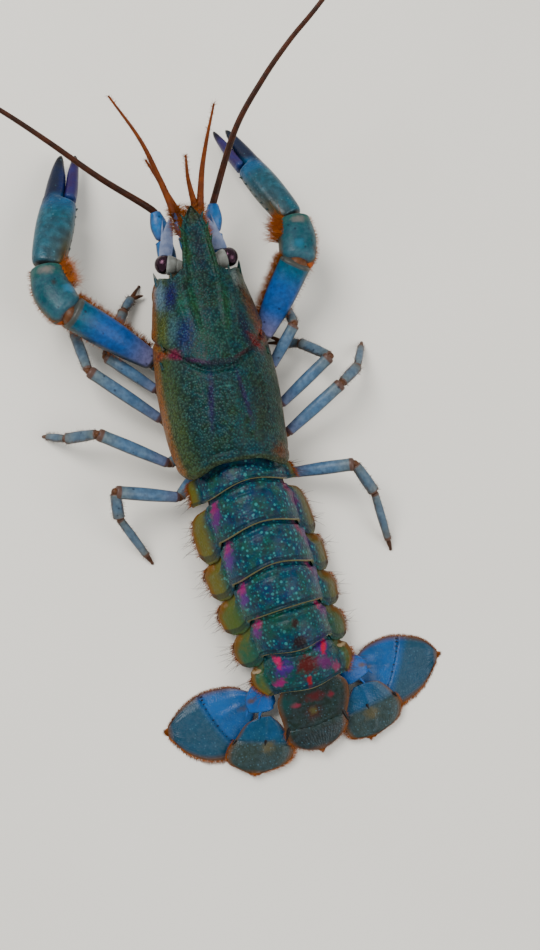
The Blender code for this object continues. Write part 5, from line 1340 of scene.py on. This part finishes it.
def make_telson():
    """Middle plate of the tail fan, with its two spines and its fringe."""
    piece = Piece()
    start, end = TELSON_TOP[0][0], TELSON_TOP[-1][0]
    along = np.linspace(start, end, 90)
    half_width, top = curve(TELSON_HALF_WIDTH, along), curve(TELSON_TOP, along)
    depth = np.maximum(1.1, 3.4 - (along - start) * 0.32)
    crown = 0.9 - 0.5 * smooth((along - 58) / 10)
    across = np.linspace(-1, 1, 71)
    size = np.abs(across)
    place = along[:, None]
    rise = -(crown[:, None] + 0.25) * size ** 3.2
    rise = rise + 0.2 * bell((size - 0.66) / 0.1) * smooth((place - 58) / 3) * smooth((67.5 - place) / 2)
    rise = rise - 0.2 * bell(across / 0.2) * smooth((place - 60) / 3) * smooth((67.5 - place) / 2)
    rise = rise - 0.3 * bell((place - 68.0 + 0.9 * size) / 0.22) * smooth((1.05 - size) * 5)
    rise = rise + 0.025 * np.sin(across * 60) * smooth((place - 68.6) / 1.5) * smooth((1 - size) * 6)
    low = -(depth[:, None]) * (1 - 0.2 * size ** 2) - 0.3 * size
    upper = body_point(across * half_width[:, None], place, top[:, None] + rise)
    back = across[::-1][1:-1]
    lower = body_point(back * half_width[:, None] * 0.97, place, top[:, None] + low[:, ::-1][:, 1:-1])
    grid = np.concatenate((upper, lower), axis=1)
    u = np.concatenate(((across + 1) / 2, (back + 1) / 2, (0.0,)))
    piece.sheet(grid, u=u, wrap=True)
    piece.cap(grid[0])
    piece.cap(grid[-1], (0.5, 1.0))
    for side in SIDES:
        base, tip = body_point(side * 7.3, 66.4, 5.0), body_point(side * 8.5, 69.6, 4.6)
        piece.spike(base, tip, 0.6, kind=1)
    piece.make("telson_plate", [TELSON_OLIVE, SPINE_BLACK], "shell_teal", "telson")
    fringe = Fringe(40)
    rim = np.vstack((upper[52:, 1], upper[-1, 2:-2], upper[52:, -2][::-1]))
    inner = np.vstack((upper[48:-4, 8], upper[-8, 2:-2], upper[48:-4, -9][::-1]))
    rim = rim - (0, 0, 0.25)
    fringe.add(rim, rim - inner, map_line(len(rim), (0, 1), 0.95), 1100, 1.2, 0.035, 0.2, 0.2)
    fringe.make("telson_setae", SETA_ORANGE, "telson")


def blade(piece, front, rear, level, thickness, side):
    """Thin plate between two edges; level and thickness are functions of (lengthwise, across)."""
    front_points, rear_points = spline(front, BLADE_ROWS), spline(rear, BLADE_ROWS)
    share = (1 - np.cos(np.linspace(0, math.pi, BLADE_COLUMNS))) / 2
    place = np.linspace(0, 1, BLADE_ROWS)
    flat = front_points[:, None] * (1 - share[:, None]) + rear_points[:, None] * share[:, None]
    length, cross = np.meshgrid(place, share, indexing="ij")
    centre, half = level(length, cross), thickness(length, cross) / 2
    tops = abdomen_point(side * flat[..., 0], flat[..., 1], centre + half)
    bottoms = abdomen_point(side * flat[..., 0], flat[..., 1], centre - half)
    piece.sheet(tops, u=share, v=place)
    piece.sheet(bottoms, u=share, v=place)
    for first, second in ((tops[0], bottoms[0]), (tops[-1], bottoms[-1]), (tops[:, 0], bottoms[:, 0]),
                          (tops[:, -1], bottoms[:, -1])):
        piece.sheet(np.stack((first, second)))
    return (tops + bottoms) / 2, share, place


def plate_thickness(length, cross, full):
    """Thickness that falls off along both sides and the tip."""
    inside = smooth(np.minimum(cross, 1 - cross) * 5) * smooth((1.0 - length) * 6)
    return BLADE_EDGE + (full - BLADE_EDGE) * inside


def fringe_blade(name, seed, middle, share, place, start, counts, node):
    """Hairs round a blade's edges: front, rear and tip."""
    fringe = Fringe(seed)
    row = int(start * len(place))
    lines = ((middle[row:, 0], middle[row:, 6], np.zeros_like(place[row:]), place[row:], 0.7),
             (middle[row:, -1], middle[row:, -7], np.ones_like(place[row:]), place[row:], 1.4),
             (middle[-1, :], middle[-7, :], share, np.ones_like(share), 1.3))
    for (rim, inner, u, v, length), count in zip(lines, counts):
        fringe.add(rim, rim - inner, np.stack((u, v), -1), count, length, 0.035, 0.2, 0.02)
    fringe.make(name, SETA_ORANGE, node)


def make_stalk(side, name):
    """Short base of one side of the tail fan, with its two spines."""
    base = Piece()
    rows = spline(UROPOD_STALK[side], 40)
    centres = abdomen_point(side * rows[:, 0], rows[:, 1], rows[:, 2])
    round_off = np.sqrt(1 - np.clip(np.abs(np.linspace(-1, 1, 40)) - 0.8, 0, 0.195) ** 2 * 25)
    lobe = np.maximum(rows[:, 3] * 1.25, 3.3 * smooth(np.linspace(0, 2, 40)))
    grid = base.tube(centres, lobe * round_off, rows[:, 4] * round_off, 40, 2.5)
    base.spike(centres[34] + (0, 0, 0.5), centres[39] + abdomen_way(side * 1.2, 1.6, 0.1), 0.5)
    outer = grid[34, 0 if side == LEFT else 20]
    base.spike(outer - (0, 0, 0.3), outer + abdomen_way(side * 1.0, 1.5, -0.2), 0.4)
    base.make(f"uropod_stalk_{name}", [STALK_BLUE], "limb_slate", f"uropod_base_{name}")


def make_endopod(side, name):
    """Inner tail blade: ribbed, with a keel, two spines and a fringe."""
    def thickness(length, cross):
        rays = np.sin(cross * 130) * smooth((length - 0.5) / 0.2) * smooth(np.minimum(cross, 1 - cross) * 10)
        return plate_thickness(length, cross, 1.15) + 0.07 * rays

    def level(length, cross):
        ridge = 0.35 * bell((cross - 0.5) / 0.06) * (1 - length) - 0.15 * bell((length - 0.46) / 0.02)
        return ENDOPOD_LEVEL + ENDOPOD_ROOT_RISE * (1 - smooth(length / 0.5)) + ridge

    endopod, node = Piece(), f"endopod_{name}"
    middle, share, place = blade(endopod, ENDOPOD_OUTER[side], ENDOPOD_INNER[side], level, thickness, side)
    for row, column in ((38, 33), (40, 4)):
        base = middle[row, column] + (0, 0, 0.35)
        ahead = unit(middle[row + 8, column] - middle[row, column])
        endopod.spike(base, base + ahead * 1.5 + (0, 0, 0.2), 0.4, kind=1)
    endopod.make(f"endopod_blade_{name}", [FAN_OLIVE, SPINE_BLACK], "fan_blue", node)
    fringe_blade(f"endopod_setae_{name}", 50 + side, middle, share, place, 0.45, (500, 420, 420), node)


def make_exopod(side, name):
    """Outer tail blade: ribbed, with a cross seam of spines and a fringe."""
    def suture(cross):
        return SUTURE[side] - 0.24 * cross + 0.03 * np.sin(math.pi * cross)

    def thickness(length, cross):
        past = length - suture(cross)
        plate = plate_thickness(length, cross, 1.2)
        plate = plate - 0.45 * bell(past / 0.009) + 0.2 * bell((past + 0.02) / 0.012)
        rays = np.sin(cross * 150) * smooth((past - 0.04) / 0.1) * smooth((0.97 - length) * 20)
        plate = plate + 0.06 * rays + 0.7 * (1 - smooth(length / 0.3))
        return plate + 0.3 * bell((cross - 0.4) / 0.05) * (1 - smooth((past + 0.12) / 0.1))

    def level(length, cross):
        return thickness(length, cross) / 2 + EXOPOD_ROOT_RISE * (1 - smooth(length / 0.26))

    exopod, node = Piece(), f"exopod_{name}"
    middle, share, place = blade(exopod, EXOPOD_FRONT[side], EXOPOD_REAR[side], level, thickness, side)
    for column in range(8, 54, 4):
        row = int((BLADE_ROWS - 1) * float(suture(share[column])))
        base = middle[row - 2, column] + (0, 0, 0.45)
        ahead = unit(middle[row + 6, column] - middle[row - 4, column])
        exopod.spike(base, base + ahead * 0.75 + (0, 0, 0.08), 0.2, kind=1, count=6)
    exopod.make(f"exopod_blade_{name}", [FAN_BLUE, SPINE_BLACK], "fan_blue", node)
    fringe_blade(f"exopod_setae_{name}", 60 + side, middle, share, place, 0.1, (700, 900, 500), node)


# Head, eyes and feelers

def box_ring(y, half_width, low, high, count=48, power=3.2):
    """Upright rounded ring."""
    across, rise = oval(math.tau * np.arange(count) / count, 2 / power, 2 / power)
    z = (low + high) / 2 + (high - low) / 2 * rise
    return np.stack((half_width * across, np.full(count, float(y)), z), -1)


def make_head():
    """Pale body under the shell's front, with the two jaws."""
    piece = Piece()
    for rows in (HEAD_LOWER, HEAD_UPPER):
        piece.solid(refine([box_ring(*row) for row in rows], 40))
    for side in SIDES:
        piece.knob((side * 1.85, 44.2, 7.6), (0, 2.3, 0), 1.7, 1.5, rows=17, blunt=0.01, count=24)
    piece.make("head_block", [BELLY_PALE, JOINT_BROWN], "belly_pale", "head")


def make_thorax():
    """Pale body under the shell, with the stumps that the limbs stand on."""
    piece = Piece()
    grid = refine([box_ring(y, half_width, low, THORAX_TOP) for y, half_width, low in THORAX], 90)
    along = grid[:, :, 1]
    lower = smooth((6.5 - grid[:, :, 2]) / 2)
    grid[:, :, 2] += lower * 0.5 * bell(np.sin(math.pi * (along - 4.2) / 7.4) / 0.35)
    piece.solid(grid)
    coxae = [(joints[0], joints[1], LEG_RADII[name]) for (name, side), joints in LEG_JOINTS.items()]
    coxae += [(joints[0], joints[1], COXA_RADIUS) for joints in CHELIPED_JOINTS.values()]
    for face, ahead, radius in coxae:
        direction = unit(np.subtract(ahead, face))
        radius = min(radius * 1.05, COXA_RADIUS)
        end = np.array(face) - direction * GAP
        share = np.linspace(0, 1, 14)
        centres = end - direction * COXA_LENGTH + direction * COXA_LENGTH * share[:, None]
        swell = radius * (1 + 0.1 * np.sin(math.pi * share)) * np.where(share > 0.93, 0.94, 1)
        piece.tube(centres, swell, swell * 0.88)
    piece.make("thorax_block", [BELLY_PALE], "belly_pale", "thorax")


def make_eye(side, name):
    centre, root = np.array(EYE_CENTRE[side]), mirrored(STALK_ROOT, side)
    axis = unit(centre - root)
    rim = math.sqrt(EYE_RADIUS ** 2 - EYE_CUT ** 2)
    end = centre - axis * (EYE_CUT + 0.1)
    share = np.linspace(0, 1, 30)
    radius = curve(((0, 1.4), (0.25, 1.75), (0.5, 2.1), (0.8, 2.45), (0.93, 2.5), (1, rim - 0.05)), share)
    radius = radius - 0.15 * bell((share - 0.34) / 0.05)
    stalk = Piece()
    stalk.tube(root + (end - root) * share[:, None], radius, count=36)
    stalk.make(f"eyestalk_bulb_{name}", [STALK_GREY], "stalk_grey", f"eyestalk_{name}")
    turn = np.linspace(math.pi - math.acos(EYE_CUT / EYE_RADIUS), 0.04, 28)
    eye = Piece()
    eye.tube(centre + axis * (EYE_RADIUS * np.cos(turn))[:, None], EYE_RADIUS * np.sin(turn), count=48)
    eye.make(f"eye_cornea_{name}", [CORNEA_BLACK], "cornea_black", f"eye_{name}")


def make_antenna(side, name):
    """Base, scale and long feeler of one antenna."""
    base = Piece()
    root, middle, end = mirrored(PEDUNCLE, side)
    segment(base, root - (0, 0.3, 0), middle, (2.1, 2.45, 2.1), joint=None)
    segment(base, middle, end + (0, 0.3, 0), (1.7, 2.3, 1.3), joint=1, rim=0.0)
    base.make(f"antenna_peduncle_{name}", [PEDUNCLE_BLUE, JOINT_BROWN], "limb_blue", f"antenna_base_{name}")

    scale, rows = Piece(), []
    for y, inner, outer, z in ANTENNA_SCALE:
        middle = (inner + outer) / 2
        outline = ((inner, z - 0.2), (inner, z + 0.2), (middle, z + 0.57), (outer, z + 0.42),
                   (outer, z - 0.42), (middle, z - 0.32))
        rows.append([mirrored((x, y, height), side) for x, height in outline])
    scale.solid(refine(rows, 30))
    scale.spike(mirrored((7.2, 61.6, 17.4), side), mirrored((6.3, 66.6, 17.9), side), 0.45)
    # The scale's finish is its lavender, paler all over as painted highlight
    scale.make(f"antenna_blade_{name}", [SCALE_LAVENDER_AND_HIGHLIGHT], "scale_pale", f"antenna_scale_{name}")

    flagellum = Piece()
    path = np.vstack((mirrored(FLAGELLUM_ROOT, side), FLAGELLA[side]))
    make_flagellum(flagellum, spline(path, 70), 1.05, 0.28)
    flagellum.make(f"antenna_whip_{name}", [FEELER_BROWN], "feeler_brown", f"antenna_{name}")


def make_antennule(side, name):
    """Stem and two whips of one short feeler, with their fuzz."""
    antennule, fuzz = Piece(), Fringe(30 + side)
    stem = mirrored(ANTENNULE_STEM, side)
    for number, radii in enumerate(((1.1, 1.25, 1.0), (0.9, 1.2, 1.0), (0.9, 1.0, 1.0))):
        segment(antennule, stem[number], stem[number + 1], radii, kind=1, joint=0 if number else None,
                rows=20)
    for branch in ANTENNULE_BRANCHES[side]:
        whip = spline(branch, 40)
        make_flagellum(antennule, whip, 1.15, 0.26)
        for turn in np.linspace(0, math.tau, 6)[:-1]:
            spot = map_line(40, (0.1, 0.9), turn / math.tau)
            fuzz.add(whip, (math.cos(turn), 0.6, math.sin(turn)), spot, 90, 1.2, 0.05, 0.4, 0.0)
    antennule.make(f"antennule_whips_{name}", [ANTENNULE_ORANGE, PEDUNCLE_BLUE], "feeler_brown",
                   f"antennule_{name}")
    for first in (1, 2):
        line = np.linspace(stem[first], stem[first + 1], 12)
        for turn in np.linspace(0, math.pi, 5):
            way = np.array((math.cos(turn), 0.5, math.sin(turn)))
            spot = map_line(12, (0.1, 0.9), turn / math.tau)
            fuzz.add(line + way * 0.8, way, spot, 90, 2.4, 0.055, 0.4, 0.05)
    fuzz.make(f"antennule_setae_{name}", SETA_ORANGE, f"antennule_{name}")


def make_jaw_foot(side, name):
    jaw_foot = Piece()
    places = mirrored(MAXILLIPED, side)
    segment(jaw_foot, places[0], places[1], (1.3, 1.6, 1.3), joint=None)
    segment(jaw_foot, places[1], places[2], (1.0, 1.3, 1.0))
    segment(jaw_foot, places[2], places[3], (0.8, 0.8, 0.5))
    jaw_foot.make(f"maxilliped_leg_{name}", [LEG_BLUE, JOINT_BROWN], "limb_slate", f"maxilliped_{name}")


def make_flagellum(piece, path, thick, thin):
    """Tapering feeler of many short rings, which grow longer towards its tip."""
    length, places = distances(path)[-1], [0.0]
    while places[-1] < length - 0.2:
        share = places[-1] / length
        places.append(places[-1] + RING_LENGTH * (0.65 + 0.5 * share))
    stops = np.array(places)
    fine = np.sort(np.concatenate((stops, stops[:-1] + 0.12, stops[:-1] + 0.3)))
    fine = fine[fine <= length]
    radius = thick + (thin - thick) * (fine / length) ** 0.7
    nearest = np.abs(fine[:, None] - stops).min(axis=1)
    radius = radius * (1 - 0.1 * bell(nearest / 0.06))
    piece.tube(at_distances(path, fine), radius, count=10, v=fine / length)


# Limbs

def skin_line(grid, first, last, column, v_low, v_high):
    """One column of a limb's rings: its points, their ways outward and their places on the map."""
    columns = grid.shape[1]
    column %= columns
    line = grid[first:last, column]
    spot = np.stack((np.full(len(line), column / columns), np.linspace(v_low, v_high, len(line))), -1)
    return line, line - grid[first:last].mean(axis=1), spot


def make_leg(name, side, joints):
    """Walking leg in two pieces, which ends in a pincer or a claw."""
    radius, label = LEG_RADII[name], SIDE_NAME[side]
    coxa, ischium, knee, start, foot, *pincer = [np.array(joint, float) for joint in joints]
    toe = foot + (0, 0, FOOT_RADIUS * 0.9)
    upper, lower = Piece(), Piece()
    segment(upper, coxa, ischium, (radius * 0.95, radius, radius * 0.9), joint=None, rows=24)
    segment(upper, ischium, knee, (radius * 0.85, radius * 1.08, radius * 1.02), bow=0.2)
    hairy = [segment(lower, knee, start, (radius * 0.78, radius * 0.95, radius * 0.92), bow=0.1)]
    if pincer:
        palm_end = start + (toe - start) * 0.5
        hairy.append(segment(lower, start, palm_end, (radius * 0.72, radius * 0.85, radius * 0.8)))
        root, share = start + (toe - start) * 0.46, np.linspace(0, 1, 16)
        for tip in (toe, pincer[0]):
            path = spline((root, root + (tip - root) * 0.55 + (0, 0, 0.3), tip), 16)
            lower.tube(path, radius * 0.42 * (1 - share) ** 0.5 + 0.08, count=12, kind=2, v=share)
    else:
        claw = start + (toe - start) * 0.84
        hairy.append(segment(lower, start, claw, (radius * 0.62, radius * 0.7, radius * 0.56), rows=40))
        segment(lower, claw, toe, (radius * 0.42, radius * 0.36, radius * 0.2), kind=2, rows=16)
    pad = foot + np.linspace(0, 1, 5)[:, None] * (0, 0, FOOT_RADIUS * 1.4)
    lower.tube(pad, FOOT_RADIUS * np.array((1, 1, 0.95, 0.8, 0.5)), count=16, kind=2)
    upper.make(f"{name}_thigh_{label}", [LEG_BLUE, JOINT_BROWN], "limb_blue", f"{name}_upper_{label}")
    lower.make(f"{name}_shank_{label}", [SHANK_SLATE, JOINT_BROWN, CLAW_TIP], "limb_slate",
               f"{name}_lower_{label}")
    fringe = Fringe(200 + 2 * int(name[-1]) + side)
    for grid in hairy:
        for column in (0, 3, 9, 12):
            line, way, spot = skin_line(grid, 3, -2, column, 0.1, 0.95)
            fringe.add(line, way + (grid[-1, 0] - grid[0, 0]) * 0.1, spot, 26, 0.9, 0.04, 0.3, 0.05)
    fringe.make(f"{name}_setae_{label}", SETA_DARK, f"{name}_lower_{label}")


def hand_axes(joints, side):
    """Root, length, and the directions along a hand, away from the body and upward."""
    root, tip = np.array(joints[3], float), np.array(joints[4], float)
    axis = unit(tip - root)
    outward = unit(np.cross(axis, (0, 0, 1))) * side
    up = unit(np.array((0, 0, 1)) - axis * axis[2])
    return root, np.linalg.norm(tip - root), axis, outward, up


def hand_part(piece, joints, side, rows, count, dense, start_share, reach, flat_side):
    """Body of the palm or a finger; its teeth and flat face look to flat_side."""
    root, length, axis, outward, up = hand_axes(joints, side)
    table = np.array(rows, float)
    places = table[:, 0]
    table[:, 0] = np.where(places > start_share, start_share + (places - start_share) * reach, places)
    share = np.linspace(table[0, 0], table[-1, 0], dense)
    offset, half_width, half_height = curve(table, share).T
    width = HAND_WIDTH[side]
    near, far = (share - share[0]) * length, (share[-1] - share) * length
    for shrink in (end_size(near, 0.9, 0.04), end_size(far, 0.8, 0.04)):
        half_width, half_height = half_width * shrink, half_height * shrink
    turn = math.tau * np.arange(count) / count
    facing = flat_side * np.cos(turn)
    across, rise = oval(turn, np.where(facing > 0, 0.45, 0.88), 0.95)
    reach_out = half_width[:, None] * width * across
    wave = np.abs(np.sin(near[:, None] * math.pi / TOOTH_STEP))
    bite = np.maximum(facing, 0) ** 4 * wave ** 0.7
    toothed = share[:, None] > start_share + 0.02
    reach_out = reach_out + flat_side * TOOTH_HEIGHT * bite * smooth(far[:, None] / 2.0) * toothed
    centres = root + axis * (GAP + share[:, None] * length) + outward * (offset * width)[:, None]
    height = half_height[:, None] * rise
    piece.solid(centres[:, None] + outward * reach_out[..., None] + up * height[..., None], v=share)


def make_arm(side, label, places, along, forward, inward):
    """Ischium and merus with their spines and the skin at the elbow; returns the merus's rings."""
    coxa, ischium, elbow = places[:3]
    merus = Piece()
    segment(merus, coxa, ischium, (2.0, 2.3, 2.3), joint=None, count=36)
    arm = segment(merus, ischium - along * 0.4, elbow + along * 0.3, (2.5, 4.0, 4.3), count=48, rows=60,
                  power=2.35, flat=0.96, rim=0.02)
    top = ischium + (elbow - ischium) * 0.8 + (0, 0, 3.4)
    merus.spike(top - (0, 0, 0.8), top + along * 2.1 + (0, 0, 1.0), 0.8)
    out = unit(np.cross(along, (0, 0, 1))) * -side
    for share in (0.35, 0.5, 0.65, 0.8):
        base = ischium + (elbow - ischium) * share + out * (2.6 + 2.0 * share) * 0.86 - (0, 0, 1.4)
        merus.spike(base, base + out * 1.1 + along * 1.0, 0.45)
    merus.knob(elbow - inward * 3.0 - forward * 0.6 - (0, 0, 0.8), along * 1.9, 1.7, kind=2)
    merus.make(f"cheliped_arm_{label}", [MERUS_BLUE, JOINT_BROWN, MEMBRANE_ORANGE], "limb_blue",
               f"cheliped_merus_{label}")
    return arm


def make_wrist(side, label, places, forward, inward):
    """Carpus with its spines; returns its rings."""
    elbow, wrist = places[2:4]
    carpus = Piece()
    bend = segment(carpus, elbow - forward * 1.5, wrist + forward * 0.3, (4.5, CARPUS_RADIUS[side], 4.1),
                   count=48, rows=56, shift=-inward * CARPUS_BULGE[side] * 0.8, flat=0.86, rim=0.02,
                   close=0.42, knob_size=0.6)
    base = elbow + (wrist - elbow) * 0.62 + inward * 3.0
    carpus.spike(base, base + inward * 2.4 + forward * 1.8, 1.0)
    carpus.spike(base + forward * 2.4, base + forward * 4.2 + inward * 0.7, 0.6)
    carpus.make(f"cheliped_wrist_{label}", [CARPUS_TEAL, JOINT_BROWN], "claw_teal",
                f"cheliped_carpus_{label}")
    return bend


def make_hand(side, label, joints):
    """Palm with its fixed finger and spines, and the movable finger."""
    hand, finger = Piece(), Piece()
    hand_part(hand, joints, side, PALM + FIXED_FINGER, 64, 150, FIXED_START, FINGER_REACH[side], -1)
    root, length, axis, outward, up = hand_axes(joints, side)
    for number in range(7):
        share = 0.1 + 0.07 * number
        base = root + axis * share * length - outward * HAND_WIDTH[side] * 4.1 + up * 0.4
        hand.spike(base, base - outward * 0.75 + axis * 0.7, 0.45)
    hand.make(f"claw_palm_{label}", [PALM_TEAL], "claw_teal", f"cheliped_hand_{label}")
    hand_part(finger, joints, side, DACTYL, 48, 90, DACTYL_START, 1.0, 1)
    finger.make(f"claw_finger_{label}", [FINGER_VIOLET], "claw_violet", f"cheliped_finger_{label}")


def make_arm_setae(side, label, arm, bend, forward, inward):
    """Fringes along the merus and the carpus, and the brush inside the wrist."""
    fringe, edge = Fringe(70 + side), 0 if side == LEFT else 24
    for turn, count, long in ((0, 420, 2.2), (3, 300, 1.7), (-3, 420, 2.4)):
        fringe.add(*skin_line(arm, 12, 57, edge + turn, 0.2, 0.95), count, long, 0.05, 0.3, 0.05)
    fringe.add(*skin_line(arm, 20, 57, edge + 24, 0.3, 0.95), 90, 1.2, 0.045, 0.3, 0.05)
    fringe.make(f"merus_setae_{label}", SETA_ORANGE, f"cheliped_merus_{label}")
    fringe, brush = Fringe(80 + side), Fringe(90 + side)
    for turn in range(-5, 4):
        line, _, spot = skin_line(bend, 28, 52, edge + turn, 0.5, 0.95)
        brush.add(line, inward * 1.6 + forward * 0.4, spot, 62, 4.0, 0.055, 0.3, 0.0, curl=0.2)
    brush.make(f"wrist_brush_{label}", SETA_BRUSH, f"cheliped_carpus_{label}")
    for turn in (22, 24, 26):
        fringe.add(*skin_line(bend, 8, 50, edge + turn, 0.1, 0.95), 90, 1.1, 0.045, 0.3, 0.05)
    fringe.make(f"carpus_setae_{label}", SETA_ORANGE, f"cheliped_carpus_{label}")


def make_cheliped(side, joints):
    """One claw limb with its hairs."""
    label, places = SIDE_NAME[side], [np.array(joint, float) for joint in joints]
    along, forward = unit(places[2] - places[1]), unit(places[3] - places[2])
    inward = unit(np.cross((0, 0, 1), forward)) * side
    arm = make_arm(side, label, places, along, forward, inward)
    bend = make_wrist(side, label, places, forward, inward)
    make_hand(side, label, joints)
    make_arm_setae(side, label, arm, bend, forward, inward)


# Stage

def make_stage():
    scene = bpy.context.scene
    world = bpy.data.worlds.new("studio")
    world.use_nodes = True
    sky = world.node_tree.nodes["Background"].inputs
    sky[0].default_value, sky[1].default_value = SKY_COLOUR, SKY_STRENGTH
    scene.world = world
    floor_mesh = bpy.data.meshes.new("floor")
    half = FLOOR_HALF_WIDTH
    corners = [(-half, -half, 0), (half, -half, 0), (half, half, 0), (-half, half, 0)]
    floor_mesh.from_pydata(corners, [], [(0, 1, 2, 3)])
    floor = bpy.data.objects.new("floor", floor_mesh)
    floor.location.z = FLOOR_Z
    scene.collection.objects.link(floor)
    finish = Finish("floor_pale", tone(240, 234, 222, 1.0, 0.0))
    finish.mottle(60.0, 0.3, tone(236, 229, 216, 1.0, 0.0), 0.5)
    floor_mesh.materials.append(finish.done(0.7, 0.05))
    for name, place, size, power in LAMPS:
        light = bpy.data.lights.new(name, "AREA")
        light.shape, light.size, light.energy = "DISK", size, power
        lamp = bpy.data.objects.new(name, light)
        lamp.location = place
        lamp.rotation_euler = (Vector(LIT_PLACE) - Vector(place)).to_track_quat("-Z", "Y").to_euler()
        scene.collection.objects.link(lamp)


def make_camera():
    data = bpy.data.cameras.new("camera")
    data.lens = CAMERA_LENS
    camera = bpy.data.objects.new("camera", data)
    place = Vector(np.array(CAMERA_PLACE) * MM + OFFSET)
    ahead = (Vector(CAMERA_TARGET) - Vector(CAMERA_PLACE)).normalized()
    right = ahead.cross(Vector(CAMERA_UP)).normalized()
    turn = Matrix((right, right.cross(ahead), -ahead)).transposed()
    camera.matrix_world = Matrix.Translation(place) @ turn.to_4x4()
    data.clip_start, data.clip_end = 0.01, 10
    bpy.context.scene.collection.objects.link(camera)
    bpy.context.scene.camera = camera


make_carapace()
for somite in range(6):
    make_somite(somite)
make_telson()
for side, name in SIDE_NAME.items():
    make_stalk(side, name)
    make_endopod(side, name)
    make_exopod(side, name)
make_head()
make_thorax()
for side, name in SIDE_NAME.items():
    make_eye(side, name)
for side, name in SIDE_NAME.items():
    make_antenna(side, name)
    make_antennule(side, name)
    make_jaw_foot(side, name)
for side, joints in CHELIPED_JOINTS.items():
    make_cheliped(side, joints)
for (name, side), joints in LEG_JOINTS.items():
    make_leg(name, side, joints)
make_stage()
make_camera()
